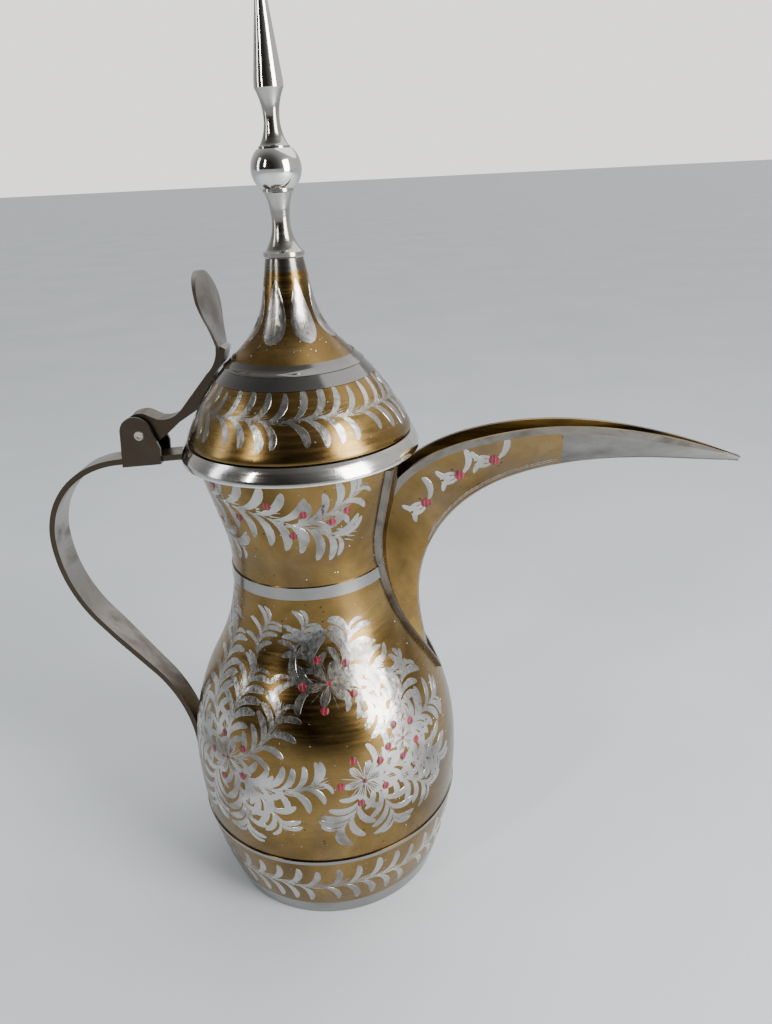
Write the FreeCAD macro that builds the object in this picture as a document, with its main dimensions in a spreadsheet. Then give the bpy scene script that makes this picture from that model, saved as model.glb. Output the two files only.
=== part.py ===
import FreeCAD, Part
import math
import operator
import os
import Sketcher

from FreeCAD import Vector

# A dallah: a spun brass coffee pot with a beaked open spout, a strap handle and a hinged lid.
# Lengths are in millimetres and angles in degrees. The pot stands on z = 0 with its axis on Z,
# the spout points along +X and the handle along -X.
SIZES = {
    "sheet_wall": 1.0,
    "solder_gap": 0.05,
    # foot and base
    "foot_radius": 44.8,
    "foot_height": 7.0,
    "foot_wall": 1.6,
    "foot_top_radius": 46.9,
    "base_level": 3.0,
    # bowl
    "belly_radius": 54.3,
    "belly_level": 56.0,
    "shoulder_bend": 90.0,
    "belly_ring_level": 33.5,
    "belly_ring_height": 1.6,
    "belly_ring_rise": 0.5,
    # waist and neck
    "waist_radius": 30.2,
    "waist_level": 143.0,
    "joint_level": 138.6,
    "waist_band_height": 4.6,
    "waist_band_wall": 0.5,
    "neck_bend": 60.0,
    "neck_flare": 0.26,
    "mouth_level": 184.4,
    # mouth ring
    "mouth_ring_radius": 43.6,
    "mouth_ring_top_radius": 41.1,
    "mouth_ring_height": 5.9,
    "mouth_ring_lip": 0.9,
    # lid
    "lid_gap": 0.3,
    "lid_radius": 40.6,
    "lid_edge_height": 1.3,
    "dome_bend": 80.0,
    "dome_top_radius": 23.3,
    "dome_top_rise": 26.5,
    "lid_throat_radius": 17.0,
    "lid_throat_rise": 32.8,
    "lid_neck_bend": 30.0,
    "lid_neck_radius": 8.5,
    "lid_neck_rise": 49.7,
    "lid_top_radius": 6.5,
    "lid_top_rise": 61.1,
    "lid_band_low_rise": 21.7,
    "lid_band_height": 6.8,
    "lid_band_wall": 0.3,
    "lid_band_rib": 0.3,
    "sleeve_top_radius": 36.8,
    "sleeve_low_radius": 35.2,
    "sleeve_depth": 9.8,
    # finial
    "rod_radius": 1.5,
    "rod_length": 64.0,
    "nut_across": 2.75,
    "nut_height": 3.0,
    "washer_radius": 4.4,
    "washer_height": 0.8,
    "collar_radius": 7.0,
    "collar_height": 2.4,
    "lower_stem_waist": 3.2,
    "lower_stem_height": 21.8,
    "stem_end_radius": 5.2,
    "ball_radius": 8.35,
    "ball_height": 12.0,
    "upper_stem_waist": 2.6,
    "upper_stem_height": 17.6,
    "spire_radius": 4.75,
    "spire_shoulder": 2.4,
    "spire_height": 35.5,
    "spire_tip_radius": 0.8,
    # handle
    "strap_width": 12.5,
    "strap_gauge": 2.2,
    "strap_root_width": 9.7,
    "strap_level": 180.7,
    "strap_tilt": 4.0,
    "strap_bend_start": 70.3,
    "strap_upper_bend": 32.9,
    "strap_lower_bend": 57.3,
    "strap_lean": 38.7,
    "strap_foot_bend": 60.0,
    "strap_foot_end": 43.0,
    # hinge
    "pin_reach": 59.0,
    "pin_level": 191.3,
    "pin_radius": 1.4,
    "pin_clearance": 0.05,
    "pin_head_radius": 1.9,
    "pin_head_height": 0.4,
    "ear_gauge": 1.2,
    "ear_top_bend": 6.0,
    "ear_back_reach": 67.4,
    "ear_front_reach": 51.8,
    "bracket_floor": 0.7,
    # lever
    "lever_width": 8.0,
    "lever_seat_gap": 0.15,
    "knuckle_radius": 6.4,
    "knuckle_crown_bend": 7.2,
    "leaf_width": 25.4,
    "leaf_widest_level": 239.0,
    "leaf_top_level": 248.4,
    # spout
    "spout_reach": 157.0,
    "spout_tip_level": 177.1,
    "crest_reach": 95.0,
    "crest_level": 191.4,
    "crest_root_reach": 37.0,
    "crest_root_level": 175.0,
    "spout_half_width": 7.6,
    "spout_wall": 0.9,
    "hem_height": 3.0,
    "hem_gauge": 0.55,
    "keel_strip_width": 2.4,
    "keel_strip_gauge": 0.6,
    "flange_gauge": 0.6,
    "flange_half_width": 17.0,
    "flange_foot": 92.0,
    "flange_top": 181.0,
    "bead_width": 2.2,
    "bead_gauge": 1.5,
    "pour_hole_radius": 1.6,
    # rivets
    "rivet_radius": 1.6,
    "rivet_head_radius": 2.8,
    "rivet_head_height": 0.9,
}

OPERATIONS = {"+": operator.add, "-": operator.sub, "*": operator.mul, "/": operator.truediv}


class Size:
    """A number together with the sheet formula that gives it."""

    def __init__(self, value, text):
        self.value = value
        self.text = text

    def mix(self, sign, other):
        if not isinstance(other, Size):
            other = Size(float(other), "%.6g" % other)
        value = OPERATIONS[sign](self.value, other.value)
        return Size(value, "(%s %s %s)" % (self.text, sign, other.text))

    def __add__(self, other):
        return self.mix("+", other)

    def __sub__(self, other):
        return self.mix("-", other)

    def __mul__(self, other):
        return self.mix("*", other)

    def __truediv__(self, other):
        return self.mix("/", other)

    def root(self):
        return Size(math.sqrt(self.value), "sqrt(%s)" % self.text)

    def sine(self):
        return Size(math.sin(math.radians(self.value)), "sin(%s)" % self.text)

    def cosine(self):
        return Size(math.cos(math.radians(self.value)), "cos(%s)" % self.text)

    def minus(self):
        return Size(-self.value, "(0 - %s)" % self.text)


class Sheet:
    """The driving dimensions: sheet.belly_radius is that cell as a Size."""

    def __init__(self, document):
        self.cells = document.addObject("Spreadsheet::Sheet", "sizes")
        for row, (name, value) in enumerate(SIZES.items(), start=1):
            self.cells.set("A%d" % row, name.replace("_", " "))
            self.cells.set("B%d" % row, str(value))
            self.cells.setAlias("B%d" % row, name)
        document.recompute()

    def __getattr__(self, name):
        return Size(float(self.cells.get(name)), "sizes." + name)


def plain(value):
    return Size(float(value), "%.6g" % value)


# ---------------------------------------------------------------- outlines and features

def arc_between(start, finish, side, bend):
    """The short arc from start to finish whose centre is on the named side of the way."""
    chord = finish - start
    lift = math.sqrt(bend ** 2 - (chord.Length / 2) ** 2)
    across = Vector(-chord.y, chord.x, 0).normalize()
    centre = (start + finish) / 2 + across * (lift if side == "left" else -lift)
    circle = Part.Circle(centre, Vector(0, 0, 1), bend)
    first, last = (start, finish) if side == "left" else (finish, start)
    angles = [math.atan2(end.y - centre.y, end.x - centre.x) for end in (first, last)]
    return Part.ArcOfCircle(circle, angles[0], angles[1])


def bind(sketch, kind, edge, end, size):
    row = sketch.addConstraint(Sketcher.Constraint(kind, edge, end, size.value))
    sketch.setExpression("Constraints[%d]" % row, size.text)


def draw_outline(sketch, corners):
    """Draws a closed outline. A corner is (across, up), or (across, up, side, bend) before an arc."""
    ends = []
    for corner, following in zip(corners, corners[1:] + corners[:1]):
        start = Vector(corner[0].value, corner[1].value, 0)
        finish = Vector(following[0].value, following[1].value, 0)
        if len(corner) == 2:
            edge = sketch.addGeometry(Part.LineSegment(start, finish))
            ends.append((edge, 1, 2))
            continue
        side, bend = corner[2], corner[3]
        edge = sketch.addGeometry(arc_between(start, finish, side, bend.value))
        ends.append((edge, 1, 2) if side == "left" else (edge, 2, 1))
        row = sketch.addConstraint(Sketcher.Constraint("Radius", edge, bend.value))
        sketch.setExpression("Constraints[%d]" % row, bend.text)
    for here, there in zip(ends, ends[1:] + ends[:1]):
        sketch.addConstraint(Sketcher.Constraint("Coincident", here[0], here[2], there[0], there[1]))
    for (edge, start, _), corner in zip(ends, corners):
        bind(sketch, "DistanceX", edge, start, corner[0])
        bind(sketch, "DistanceY", edge, start, corner[1])


def draw_circle(sketch, across, up, radius):
    centre = Vector(across.value, up.value, 0)
    edge = sketch.addGeometry(Part.Circle(centre, Vector(0, 0, 1), radius.value))
    bind(sketch, "DistanceX", edge, 3, across)
    bind(sketch, "DistanceY", edge, 3, up)
    row = sketch.addConstraint(Sketcher.Constraint("Radius", edge, radius.value))
    sketch.setExpression("Constraints[%d]" % row, radius.text)


def new_body(document, label):
    body = document.addObject("PartDesign::Body", label)
    body.Label = label
    return body


def new_sketch(body, name, role):
    sketch = body.newObject("Sketcher::SketchObject", name)
    plane = next(item for item in body.Origin.OriginFeatures if item.Role == role)
    sketch.AttachmentSupport = [(plane, "")]
    sketch.MapMode = "FlatFace"
    return sketch


def turned_piece(document, label, corners):
    """A piece turned about the pot's axis from half its section."""
    body = new_body(document, label)
    sketch = new_sketch(body, label + "_section", "XZ_Plane")
    draw_outline(sketch, corners)
    turn = body.newObject("PartDesign::Revolution", label + "_turn")
    turn.Profile = sketch
    turn.ReferenceAxis = (sketch, ["V_Axis"])
    turn.Angle = 360
    return body


def side_plate(document, label, corners, width, hole=None):
    """A plate cut to a side outline, as wide as given, with an optional pin hole."""
    body = new_body(document, label)
    sketch = new_sketch(body, label + "_side", "XZ_Plane")
    draw_outline(sketch, corners)
    if hole:
        draw_circle(sketch, *hole)
    pad = body.newObject("PartDesign::Pad", label + "_width")
    pad.Profile = sketch
    pad.SideType = "Symmetric"
    pad.setExpression("Length", width.text)
    return body


def pocket_through(body, name, role, corners, length=None):
    """Cuts an outline through the body, or symmetrically to a length."""
    sketch = new_sketch(body, name, role)
    draw_outline(sketch, corners)
    pocket = body.newObject("PartDesign::Pocket", name + "_cut")
    pocket.Profile = sketch
    pocket.SideType = "Symmetric"
    if length is None:
        pocket.Type = "ThroughAll"
    else:
        pocket.setExpression("Length", length.text)
    return pocket


def shaped(document, label, shape):
    """A piece whose form is worked out with Part's own functions."""
    piece = document.addObject("Part::Feature", label)
    piece.Label = label
    piece.Shape = shape
    piece.Placement = FreeCAD.Placement()
    return piece


# ---------------------------------------------------------------- the pot's profile

def bowl_curve(sheet, inset):
    """Foot, belly, turning point and joint of the bowl's wall, set in by inset."""
    belly = sheet.belly_radius - inset
    fall = sheet.belly_radius - sheet.foot_top_radius
    rise = sheet.belly_level - sheet.foot_height
    base_bend = (fall * fall + rise * rise) / (fall * 2) - inset
    foot = belly - base_bend + (base_bend * base_bend - rise * rise).root()
    narrowing = sheet.belly_radius - sheet.waist_radius
    height = sheet.waist_level - sheet.belly_level
    both_bends = (narrowing * narrowing + height * height) / (narrowing * 2)
    upper = sheet.shoulder_bend - inset
    lower = both_bends - upper
    lean = height / both_bends
    turn_level = sheet.belly_level + upper * lean
    turn_radius = belly - upper + upper * (plain(1) - lean * lean).root()
    below_waist = sheet.waist_level - sheet.joint_level
    joint = sheet.waist_radius - inset + lower - (lower * lower - below_waist * below_waist).root()
    return {"foot": foot, "base_bend": base_bend, "belly": belly, "upper": upper, "lower": lower,
            "turn_radius": turn_radius, "turn_level": turn_level, "joint": joint}


def neck_curve(sheet, inset):
    """Waist, start of the straight flare and mouth of the neck's wall, set in by inset."""
    bend = sheet.neck_bend + inset
    slope = (sheet.neck_flare * sheet.neck_flare + 1).root()
    flare_level = sheet.waist_level + bend * (sheet.neck_flare / slope)
    flare_radius = sheet.waist_radius - inset + bend - bend / slope
    mouth = flare_radius + (sheet.mouth_level - flare_level) * sheet.neck_flare
    waist = sheet.waist_radius - inset
    return {"waist": waist, "bend": bend, "flare_radius": flare_radius,
            "flare_level": flare_level, "mouth": mouth}


def bowl_corners(sheet, inset):
    """The bowl's wall from the foot up to the joint in the waist."""
    curve = bowl_curve(sheet, inset)
    return [(curve["foot"], sheet.foot_height, "left", curve["base_bend"]),
            (curve["belly"], sheet.belly_level, "left", curve["upper"]),
            (curve["turn_radius"], curve["turn_level"], "right", curve["lower"]),
            (curve["joint"], sheet.joint_level)]


def neck_corners(sheet, inset):
    """The neck's wall from the joint in the waist up to the mouth."""
    below = bowl_curve(sheet, inset)
    curve = neck_curve(sheet, inset)
    return [(below["joint"], sheet.joint_level, "right", below["lower"]),
            (curve["waist"], sheet.waist_level, "right", curve["bend"]),
            (curve["flare_radius"], curve["flare_level"]),
            (curve["mouth"], sheet.mouth_level)]


def walked_back(corners):
    """The same run of corners from its other end, with the arcs' sides exchanged."""
    other = {"left": "right", "right": "left"}
    back = []
    for index in range(len(corners) - 1, -1, -1):
        across, up = corners[index][:2]
        before = corners[index - 1] if index > 0 else ()
        back.append((across, up, other[before[2]], before[3]) if len(before) == 4 else (across, up))
    return back


def wall_section(outer, inner):
    return outer + walked_back(inner)


def make_bowl(document, sheet):
    zero = plain(0)
    return turned_piece(document, "bowl", wall_section(bowl_corners(sheet, zero),
                                                       bowl_corners(sheet, sheet.sheet_wall)))


def pour_holes(sheet):
    """Drills through the neck's wall behind the spout, in rows that narrow downwards."""
    drills = []
    for row, count in enumerate((1, 2, 3, 4)):
        level = sheet.joint_level.value + 10 + 7 * row
        for place in range(count):
            across = (place - (count - 1) / 2) * 5.2
            start = Vector(sheet.waist_radius.value / 2, across, level)
            radius = sheet.pour_hole_radius.value
            drills.append(Part.makeCylinder(radius, sheet.waist_radius.value, start, Vector(1, 0, 0)))
    return drills


def make_neck(document, sheet):
    """The neck, drilled behind the spout so that the coffee pours and the grounds stay."""
    zero = plain(0)
    blank = turned_piece(document, "neck_blank", wall_section(neck_corners(sheet, zero),
                                                              neck_corners(sheet, sheet.sheet_wall)))
    return cut_piece(document, "neck", blank, Part.makeCompound(pour_holes(sheet)))


def pot_solid(sheet, grow):
    """The pot's outer form as one full solid, grown outwards by grow."""
    swell = plain(-grow)
    corners = bowl_corners(sheet, swell)[:-1] + neck_corners(sheet, swell)[1:]
    corners = [(plain(0), sheet.foot_height)] + corners + [(plain(0), sheet.mouth_level)]
    return revolve_corners(corners)


def revolve_corners(corners):
    """A solid of revolution from the same kind of corner list as a sketch takes."""
    edges = []
    for corner, following in zip(corners, corners[1:] + corners[:1]):
        start = Vector(corner[0].value, corner[1].value, 0)
        finish = Vector(following[0].value, following[1].value, 0)
        if len(corner) == 2:
            edges.append(Part.LineSegment(start, finish).toShape())
        else:
            edges.append(arc_between(start, finish, corner[2], corner[3].value).toShape())
    wire = Part.Wire(Part.__sortEdges__(edges))
    face = Part.Face(wire)
    face.rotate(Vector(0, 0, 0), Vector(1, 0, 0), 90)
    return face.revolve(Vector(0, 0, 0), Vector(0, 0, 1), 360)


def make_foot_ring(document, sheet):
    """The foot: a turned ring with a ledge that carries the base plate."""
    inner_low = sheet.foot_radius - sheet.foot_wall
    inner_top = sheet.foot_top_radius - sheet.foot_wall
    ledge = inner_low - 2
    return turned_piece(document, "foot_ring", [
        (inner_low, plain(0)),
        (sheet.foot_radius, plain(0)),
        (sheet.foot_top_radius, sheet.foot_height),
        (inner_top, sheet.foot_height),
        (inner_low, sheet.base_level),
        (ledge, sheet.base_level),
        (ledge, sheet.base_level - sheet.sheet_wall)])


def make_base_plate(document, sheet):
    """The bottom of the pot, soldered on the foot ring's ledge and domed up in the middle."""
    edge = sheet.foot_radius - sheet.foot_wall - sheet.solder_gap
    top = sheet.base_level + sheet.sheet_wall
    flat = edge - 6
    return turned_piece(document, "base_plate", [
        (plain(0), sheet.base_level + 2),
        (flat, sheet.base_level),
        (edge, sheet.base_level),
        (edge, top),
        (flat, top),
        (plain(0), top + 2)])


def make_belly_ring(document, sheet):
    """A narrow plain ring soldered round the bowl above the lower frieze."""
    middle = sheet.belly_ring_level + sheet.belly_ring_height / 2
    curve = bowl_curve(sheet, plain(0))
    drop = sheet.belly_level - middle
    bend = curve["base_bend"]
    inner = sheet.belly_radius - bend + (bend * bend - drop * drop).root() + sheet.solder_gap
    outer = inner + sheet.belly_ring_rise
    half = sheet.belly_ring_height / 2
    lean = sheet.belly_ring_height * 0.06
    return turned_piece(document, "belly_ring", [
        (inner, middle - half),
        (outer - lean, middle - half),
        (outer + lean, middle + half),
        (inner + lean * 2, middle + half)])


def make_waist_band(document, sheet):
    """The plain strip soldered over the joint of bowl and neck, from one side of the spout to the other."""
    low = sheet.joint_level - sheet.waist_band_height / 2
    high = sheet.joint_level + sheet.waist_band_height / 2
    lower = bowl_curve(sheet, plain(0))["lower"]
    inner = []
    for level in (low, high):
        below = sheet.waist_level - level
        radius = sheet.waist_radius + lower - (lower * lower - below * below).root()
        inner.append(radius + sheet.solder_gap)
    outer = [radius + sheet.waist_band_wall for radius in inner]
    hoop = turned_piece(document, "waist_hoop", [
        (inner[0], low),
        (outer[0], low, "right", lower),
        (outer[1], high),
        (inner[1], high, "left", lower)])
    return cut_piece(document, "waist_band", hoop, seam_prism(sheet, sheet.bead_width.value + 0.1))


def make_mouth_ring(document, sheet):
    """The mouth's flared ring: a seat on the neck's edge and a skirt that turns down outside."""
    neck = neck_curve(sheet, plain(0))
    outer = neck["mouth"]
    inner = outer - sheet.sheet_wall
    top = sheet.mouth_level + sheet.mouth_ring_height
    gauge = sheet.sheet_wall * 1.3
    return turned_piece(document, "mouth_ring", [
        (inner, sheet.mouth_level),
        (outer, sheet.mouth_level),
        (outer + 0.2, top - gauge * 1.5),
        (sheet.mouth_ring_radius - gauge, sheet.mouth_level),
        (sheet.mouth_ring_radius, sheet.mouth_level),
        (sheet.mouth_ring_radius, sheet.mouth_level + sheet.mouth_ring_lip, "left", plain(14)),
        (sheet.mouth_ring_top_radius, top),
        (inner, top)])


# ---------------------------------------------------------------- the lid

def lid_base(sheet):
    return sheet.mouth_level + sheet.mouth_ring_height + sheet.lid_gap


def dome_surface(sheet, level, lift):
    """How far out the dome's outer surface, raised by lift, lies at a level."""
    low = lid_base(sheet) + sheet.lid_edge_height
    high = lid_base(sheet) + sheet.dome_top_rise
    across = sheet.lid_radius - sheet.dome_top_radius
    up = high - low
    chord = (across * across + up * up).root()
    stand_back = (sheet.dome_bend * sheet.dome_bend - chord * chord / 4).root()
    centre_reach = (sheet.lid_radius + sheet.dome_top_radius) / 2 - stand_back * up / chord
    centre_level = (low + high) / 2 - stand_back * across / chord
    bend = sheet.dome_bend + lift
    rise = level - centre_level
    return centre_reach + (bend * bend - rise * rise).root()


def make_lid_dome(document, sheet):
    """The spun dome, from its upright edge to the middle of the band."""
    base = lid_base(sheet)
    wall = sheet.sheet_wall
    top = base + sheet.dome_top_rise
    edge_top = base + sheet.lid_edge_height
    slant = wall * 1.4
    return turned_piece(document, "lid_dome", [
        (sheet.lid_radius - wall, base),
        (sheet.lid_radius - 0.3, base),
        (sheet.lid_radius, base + 0.3),
        (sheet.lid_radius, edge_top, "left", sheet.dome_bend),
        (sheet.dome_top_radius, top),
        (sheet.dome_top_radius - slant, top),
        (sheet.dome_top_radius - slant + 0.1, top - 0.2, "right", sheet.dome_bend - wall),
        (sheet.lid_radius - wall, edge_top)])


def make_lid_neck(document, sheet):
    """The lid's drawn neck, closed at the top round the tie rod."""
    base = lid_base(sheet)
    wall = sheet.sheet_wall
    low = base + sheet.dome_top_rise
    throat = base + sheet.lid_throat_rise
    neck = base + sheet.lid_neck_rise
    top = base + sheet.lid_top_rise
    slant = wall * 1.4
    return turned_piece(document, "lid_neck", [
        (sheet.dome_top_radius, low),
        (sheet.lid_throat_radius, throat, "right", sheet.lid_neck_bend),
        (sheet.lid_neck_radius, neck),
        (sheet.lid_top_radius, top),
        (sheet.rod_radius, top),
        (sheet.rod_radius, top - wall),
        (sheet.lid_top_radius - wall, top - wall),
        (sheet.lid_neck_radius - wall, neck, "left", sheet.lid_neck_bend + wall),
        (sheet.lid_throat_radius - slant, throat),
        (sheet.dome_top_radius - slant, low)])


def make_lid_band(document, sheet):
    """The plain band over the joint of dome and lid neck, with a fine raised line in it."""
    low = lid_base(sheet) + sheet.lid_band_low_rise
    middle = lid_base(sheet) + sheet.dome_top_rise
    high = low + sheet.lid_band_height
    gap = sheet.solder_gap * 2
    wall = sheet.lid_band_wall
    rib = sheet.lid_band_rib
    low_radius = dome_surface(sheet, low, gap)
    middle_radius = sheet.dome_top_radius + gap * 1.5
    high_radius = middle_radius - (high - middle)
    rib_low = middle - 0.9
    rib_radius = dome_surface(sheet, rib_low, gap)
    return turned_piece(document, "lid_band", [
        (low_radius, low),
        (low_radius + wall, low - wall * 0.5),
        (rib_radius + wall, rib_low),
        (rib_radius + wall + rib, rib_low + 0.1),
        (middle_radius + wall + rib, middle - 0.1),
        (middle_radius + wall, middle),
        (high_radius + wall, high + wall * 0.5),
        (high_radius, high),
        (middle_radius, middle)])


def make_lid_sleeve(document, sheet):
    """The sleeve inside the lid that centres it in the mouth."""
    base = lid_base(sheet)
    wall = sheet.sheet_wall * 0.8
    seat = sheet.lid_radius - sheet.sheet_wall - sheet.solder_gap
    low = base - sheet.sleeve_depth
    return turned_piece(document, "lid_sleeve", [
        (sheet.sleeve_low_radius - wall, low),
        (sheet.sleeve_low_radius, low),
        (sheet.sleeve_top_radius, base),
        (seat, base),
        (seat - 0.2, base + wall),
        (sheet.sleeve_top_radius - wall, base + wall)])


# ---------------------------------------------------------------- the finial

def make_lower_stem(document, sheet):
    base = lid_base(sheet) + sheet.lid_top_rise
    collar_top = base + sheet.collar_height
    top = base + sheet.lower_stem_height
    middle = base + sheet.lower_stem_height * 0.64
    return turned_piece(document, "finial_lower_stem", [
        (sheet.rod_radius, base),
        (sheet.collar_radius - 0.5, base),
        (sheet.collar_radius, base + 0.6),
        (sheet.collar_radius, collar_top - 0.5),
        (sheet.collar_radius - 0.9, collar_top, "right", plain(16)),
        (sheet.lower_stem_waist, middle, "right", plain(19)),
        (sheet.stem_end_radius - 0.5, top - 1.3),
        (sheet.stem_end_radius, top - 1),
        (sheet.stem_end_radius, top),
        (sheet.rod_radius, top)])


def make_ball(document, sheet):
    base = lid_base(sheet) + sheet.lid_top_rise + sheet.lower_stem_height
    half = sheet.ball_height / 2
    flat = (sheet.ball_radius * sheet.ball_radius - half * half).root()
    return turned_piece(document, "finial_ball", [
        (sheet.rod_radius, base),
        (flat, base, "left", sheet.ball_radius),
        (sheet.ball_radius, base + half, "left", sheet.ball_radius),
        (flat, base + sheet.ball_height),
        (sheet.rod_radius, base + sheet.ball_height)])


def make_upper_stem(document, sheet):
    base = lid_base(sheet) + sheet.lid_top_rise + sheet.lower_stem_height + sheet.ball_height
    top = base + sheet.upper_stem_height
    middle = base + sheet.upper_stem_height * 0.5
    return turned_piece(document, "finial_upper_stem", [
        (sheet.rod_radius, base),
        (sheet.stem_end_radius, base),
        (sheet.stem_end_radius, base + 0.7),
        (sheet.stem_end_radius - 0.5, base + 1, "right", plain(15)),
        (sheet.upper_stem_waist, middle, "right", plain(20)),
        (sheet.spire_radius - 0.1, top),
        (sheet.rod_radius, top)])


def make_spire(document, sheet):
    base = (lid_base(sheet) + sheet.lid_top_rise + sheet.lower_stem_height
            + sheet.ball_height + sheet.upper_stem_height)
    top = base + sheet.spire_height
    socket = base + 6
    tip = sheet.spire_tip_radius
    return turned_piece(document, "finial_spire", [
        (sheet.rod_radius, base),
        (sheet.spire_radius, base),
        (sheet.spire_radius - 0.1, base + sheet.spire_shoulder),
        (tip, top - tip, "left", tip),
        (plain(0), top),
        (plain(0), socket),
        (sheet.rod_radius, socket)])


def make_rod(document, sheet):
    """The tie rod that strings the finial together and ends in the spire."""
    top = (lid_base(sheet) + sheet.lid_top_rise + sheet.lower_stem_height
           + sheet.ball_height + sheet.upper_stem_height + 6)
    low = top - sheet.rod_length
    return turned_piece(document, "finial_rod", [
        (plain(0), low),
        (sheet.rod_radius, low),
        (sheet.rod_radius, top),
        (plain(0), top)])


def make_washer(document, sheet):
    top = lid_base(sheet) + sheet.lid_top_rise - sheet.sheet_wall
    return turned_piece(document, "finial_washer", [
        (sheet.rod_radius, top - sheet.washer_height),
        (sheet.washer_radius, top - sheet.washer_height),
        (sheet.washer_radius, top),
        (sheet.rod_radius, top)])


def make_nut(document, sheet):
    """The hexagon nut inside the lid that pulls the finial down."""
    top = lid_base(sheet) + sheet.lid_top_rise - sheet.sheet_wall - sheet.washer_height
    low = top - sheet.nut_height
    body = turned_piece(document, "finial_nut", [
        (sheet.rod_radius, low),
        (sheet.nut_across * 1.155, low),
        (sheet.nut_across * 1.155, top),
        (sheet.rod_radius, top)])
    sketch = new_sketch(body, "nut_flat", "XY_Plane")
    far = sheet.nut_across * 2
    draw_outline(sketch, [(sheet.nut_across, far.minus()), (far, far.minus()),
                          (far, far), (sheet.nut_across, far)])
    flat = body.newObject("PartDesign::Pocket", "nut_flat_cut")
    flat.Profile = sketch
    flat.SideType = "Symmetric"
    flat.Type = "ThroughAll"
    flats = body.newObject("PartDesign::PolarPattern", "nut_flats")
    flats.Originals = [flat]
    flats.Axis = (sketch, ["N_Axis"])
    flats.Angle = 360
    flats.Occurrences = 6
    body.Tip = flats
    return body


# ---------------------------------------------------------------- the handle and the hinge

def strap_height(sheet, reach):
    """The level of the strap's middle at a reach along its straight root."""
    fall = sheet.strap_tilt.sine() / sheet.strap_tilt.cosine()
    return sheet.strap_level + (sheet.strap_bend_start - reach) * fall


def strap_run(sheet, offset):
    """The strap's line from the neck over the hand to its foot, moved outwards by offset."""
    tilt = sheet.strap_tilt
    lean = sheet.strap_lean
    upper = sheet.strap_upper_bend + offset
    lower = sheet.strap_lower_bend + offset
    foot = sheet.strap_foot_bend - offset
    start = neck_curve(sheet, plain(0))["mouth"] + 0.1
    start_level = strap_height(sheet, start) + offset / tilt.cosine()
    upper_centre = sheet.strap_bend_start - sheet.strap_upper_bend * tilt.sine()
    centre_level = sheet.strap_level - sheet.strap_upper_bend * tilt.cosine()
    bend_start = sheet.strap_bend_start + offset * tilt.sine()
    bend_level = sheet.strap_level + offset * tilt.cosine()
    lower_centre = upper_centre + sheet.strap_upper_bend - sheet.strap_lower_bend
    slant_reach = lower_centre + lower * lean.cosine()
    slant_level = centre_level - lower * lean.sine()
    pad = sheet.belly_radius + sheet.solder_gap + sheet.strap_gauge / 2
    foot_centre = pad + sheet.strap_foot_bend
    foot_reach = foot_centre - foot * lean.cosine()
    slant_run = (lower_centre + sheet.strap_lower_bend * lean.cosine()
                 - foot_centre + sheet.strap_foot_bend * lean.cosine())
    middle_level = centre_level - sheet.strap_lower_bend * lean.sine()
    end_of_slant = middle_level - slant_run * lean.cosine() / lean.sine()
    foot_level = end_of_slant - sheet.strap_foot_bend * lean.sine()
    return [(start.minus(), start_level),
            (bend_start.minus(), bend_level, "left", upper),
            ((upper_centre + upper).minus(), centre_level, "left", lower),
            (slant_reach.minus(), slant_level),
            (foot_reach.minus(), foot_level + foot * lean.sine(), "right", foot),
            ((pad + offset).minus(), foot_level),
            ((pad + offset).minus(), sheet.strap_foot_end)]


def make_strap(document, sheet):
    """The flat strap handle, bent to an open loop and let run down the belly, narrow at its root."""
    half = sheet.strap_gauge / 2
    outer = strap_run(sheet, half)
    inner = strap_run(sheet, half.minus())
    body = side_plate(document, "strap_blank", outer + walked_back(inner), sheet.strap_width)
    wide = sheet.strap_width / 2
    narrow = sheet.strap_root_width / 2
    shoulder_out = (sheet.ear_back_reach + 16).minus()
    shoulder_in = (sheet.ear_back_reach + 1).minus()
    root = sheet.waist_radius.minus()
    left = [(shoulder_out, wide), (shoulder_in, narrow), (root, narrow),
            (root, wide * 2), (shoulder_out, wide * 2)]
    right = [(across, up.minus()) for across, up in left]
    pocket_through(body, "strap_left_taper", "XY_Plane", left)
    pocket_through(body, "strap_right_taper", "XY_Plane", right)
    return body


def make_bracket(document, sheet):
    """The hinge bracket: a channel bent up round the strap's root, with two ears for the pin."""
    def under_strap(reach, drop):
        return strap_height(sheet, reach) - sheet.strap_gauge / 2 - sheet.solder_gap - drop

    bend = sheet.ear_top_bend
    middle = sheet.pin_reach + 1.2
    level = sheet.pin_level + 1
    lean = plain(20)
    back = sheet.ear_back_reach
    front = sheet.ear_front_reach
    inside = sheet.strap_root_width + sheet.solder_gap * 2
    outside = inside + sheet.ear_gauge * 2
    body = side_plate(document, "bracket_blank", [
        (back.minus(), under_strap(back, sheet.bracket_floor)),
        ((front + 0.5).minus(), under_strap(front, sheet.bracket_floor)),
        (front.minus(), sheet.pin_level - 5),
        ((middle - bend * lean.cosine()).minus(), level + bend * lean.sine(), "left", bend),
        ((middle + bend).minus(), level)],
        outside, hole=(sheet.pin_reach.minus(), sheet.pin_level, sheet.pin_radius))
    clear = bend
    roof = sheet.pin_level + bend * 2
    pocket_through(body, "hinge_channel", "XZ_Plane", [
        ((back + clear).minus(), under_strap(back + clear, plain(0))),
        ((front - clear).minus(), under_strap(front - clear, plain(0))),
        ((front - clear).minus(), roof),
        ((back + clear).minus(), roof)], inside)
    return body


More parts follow.
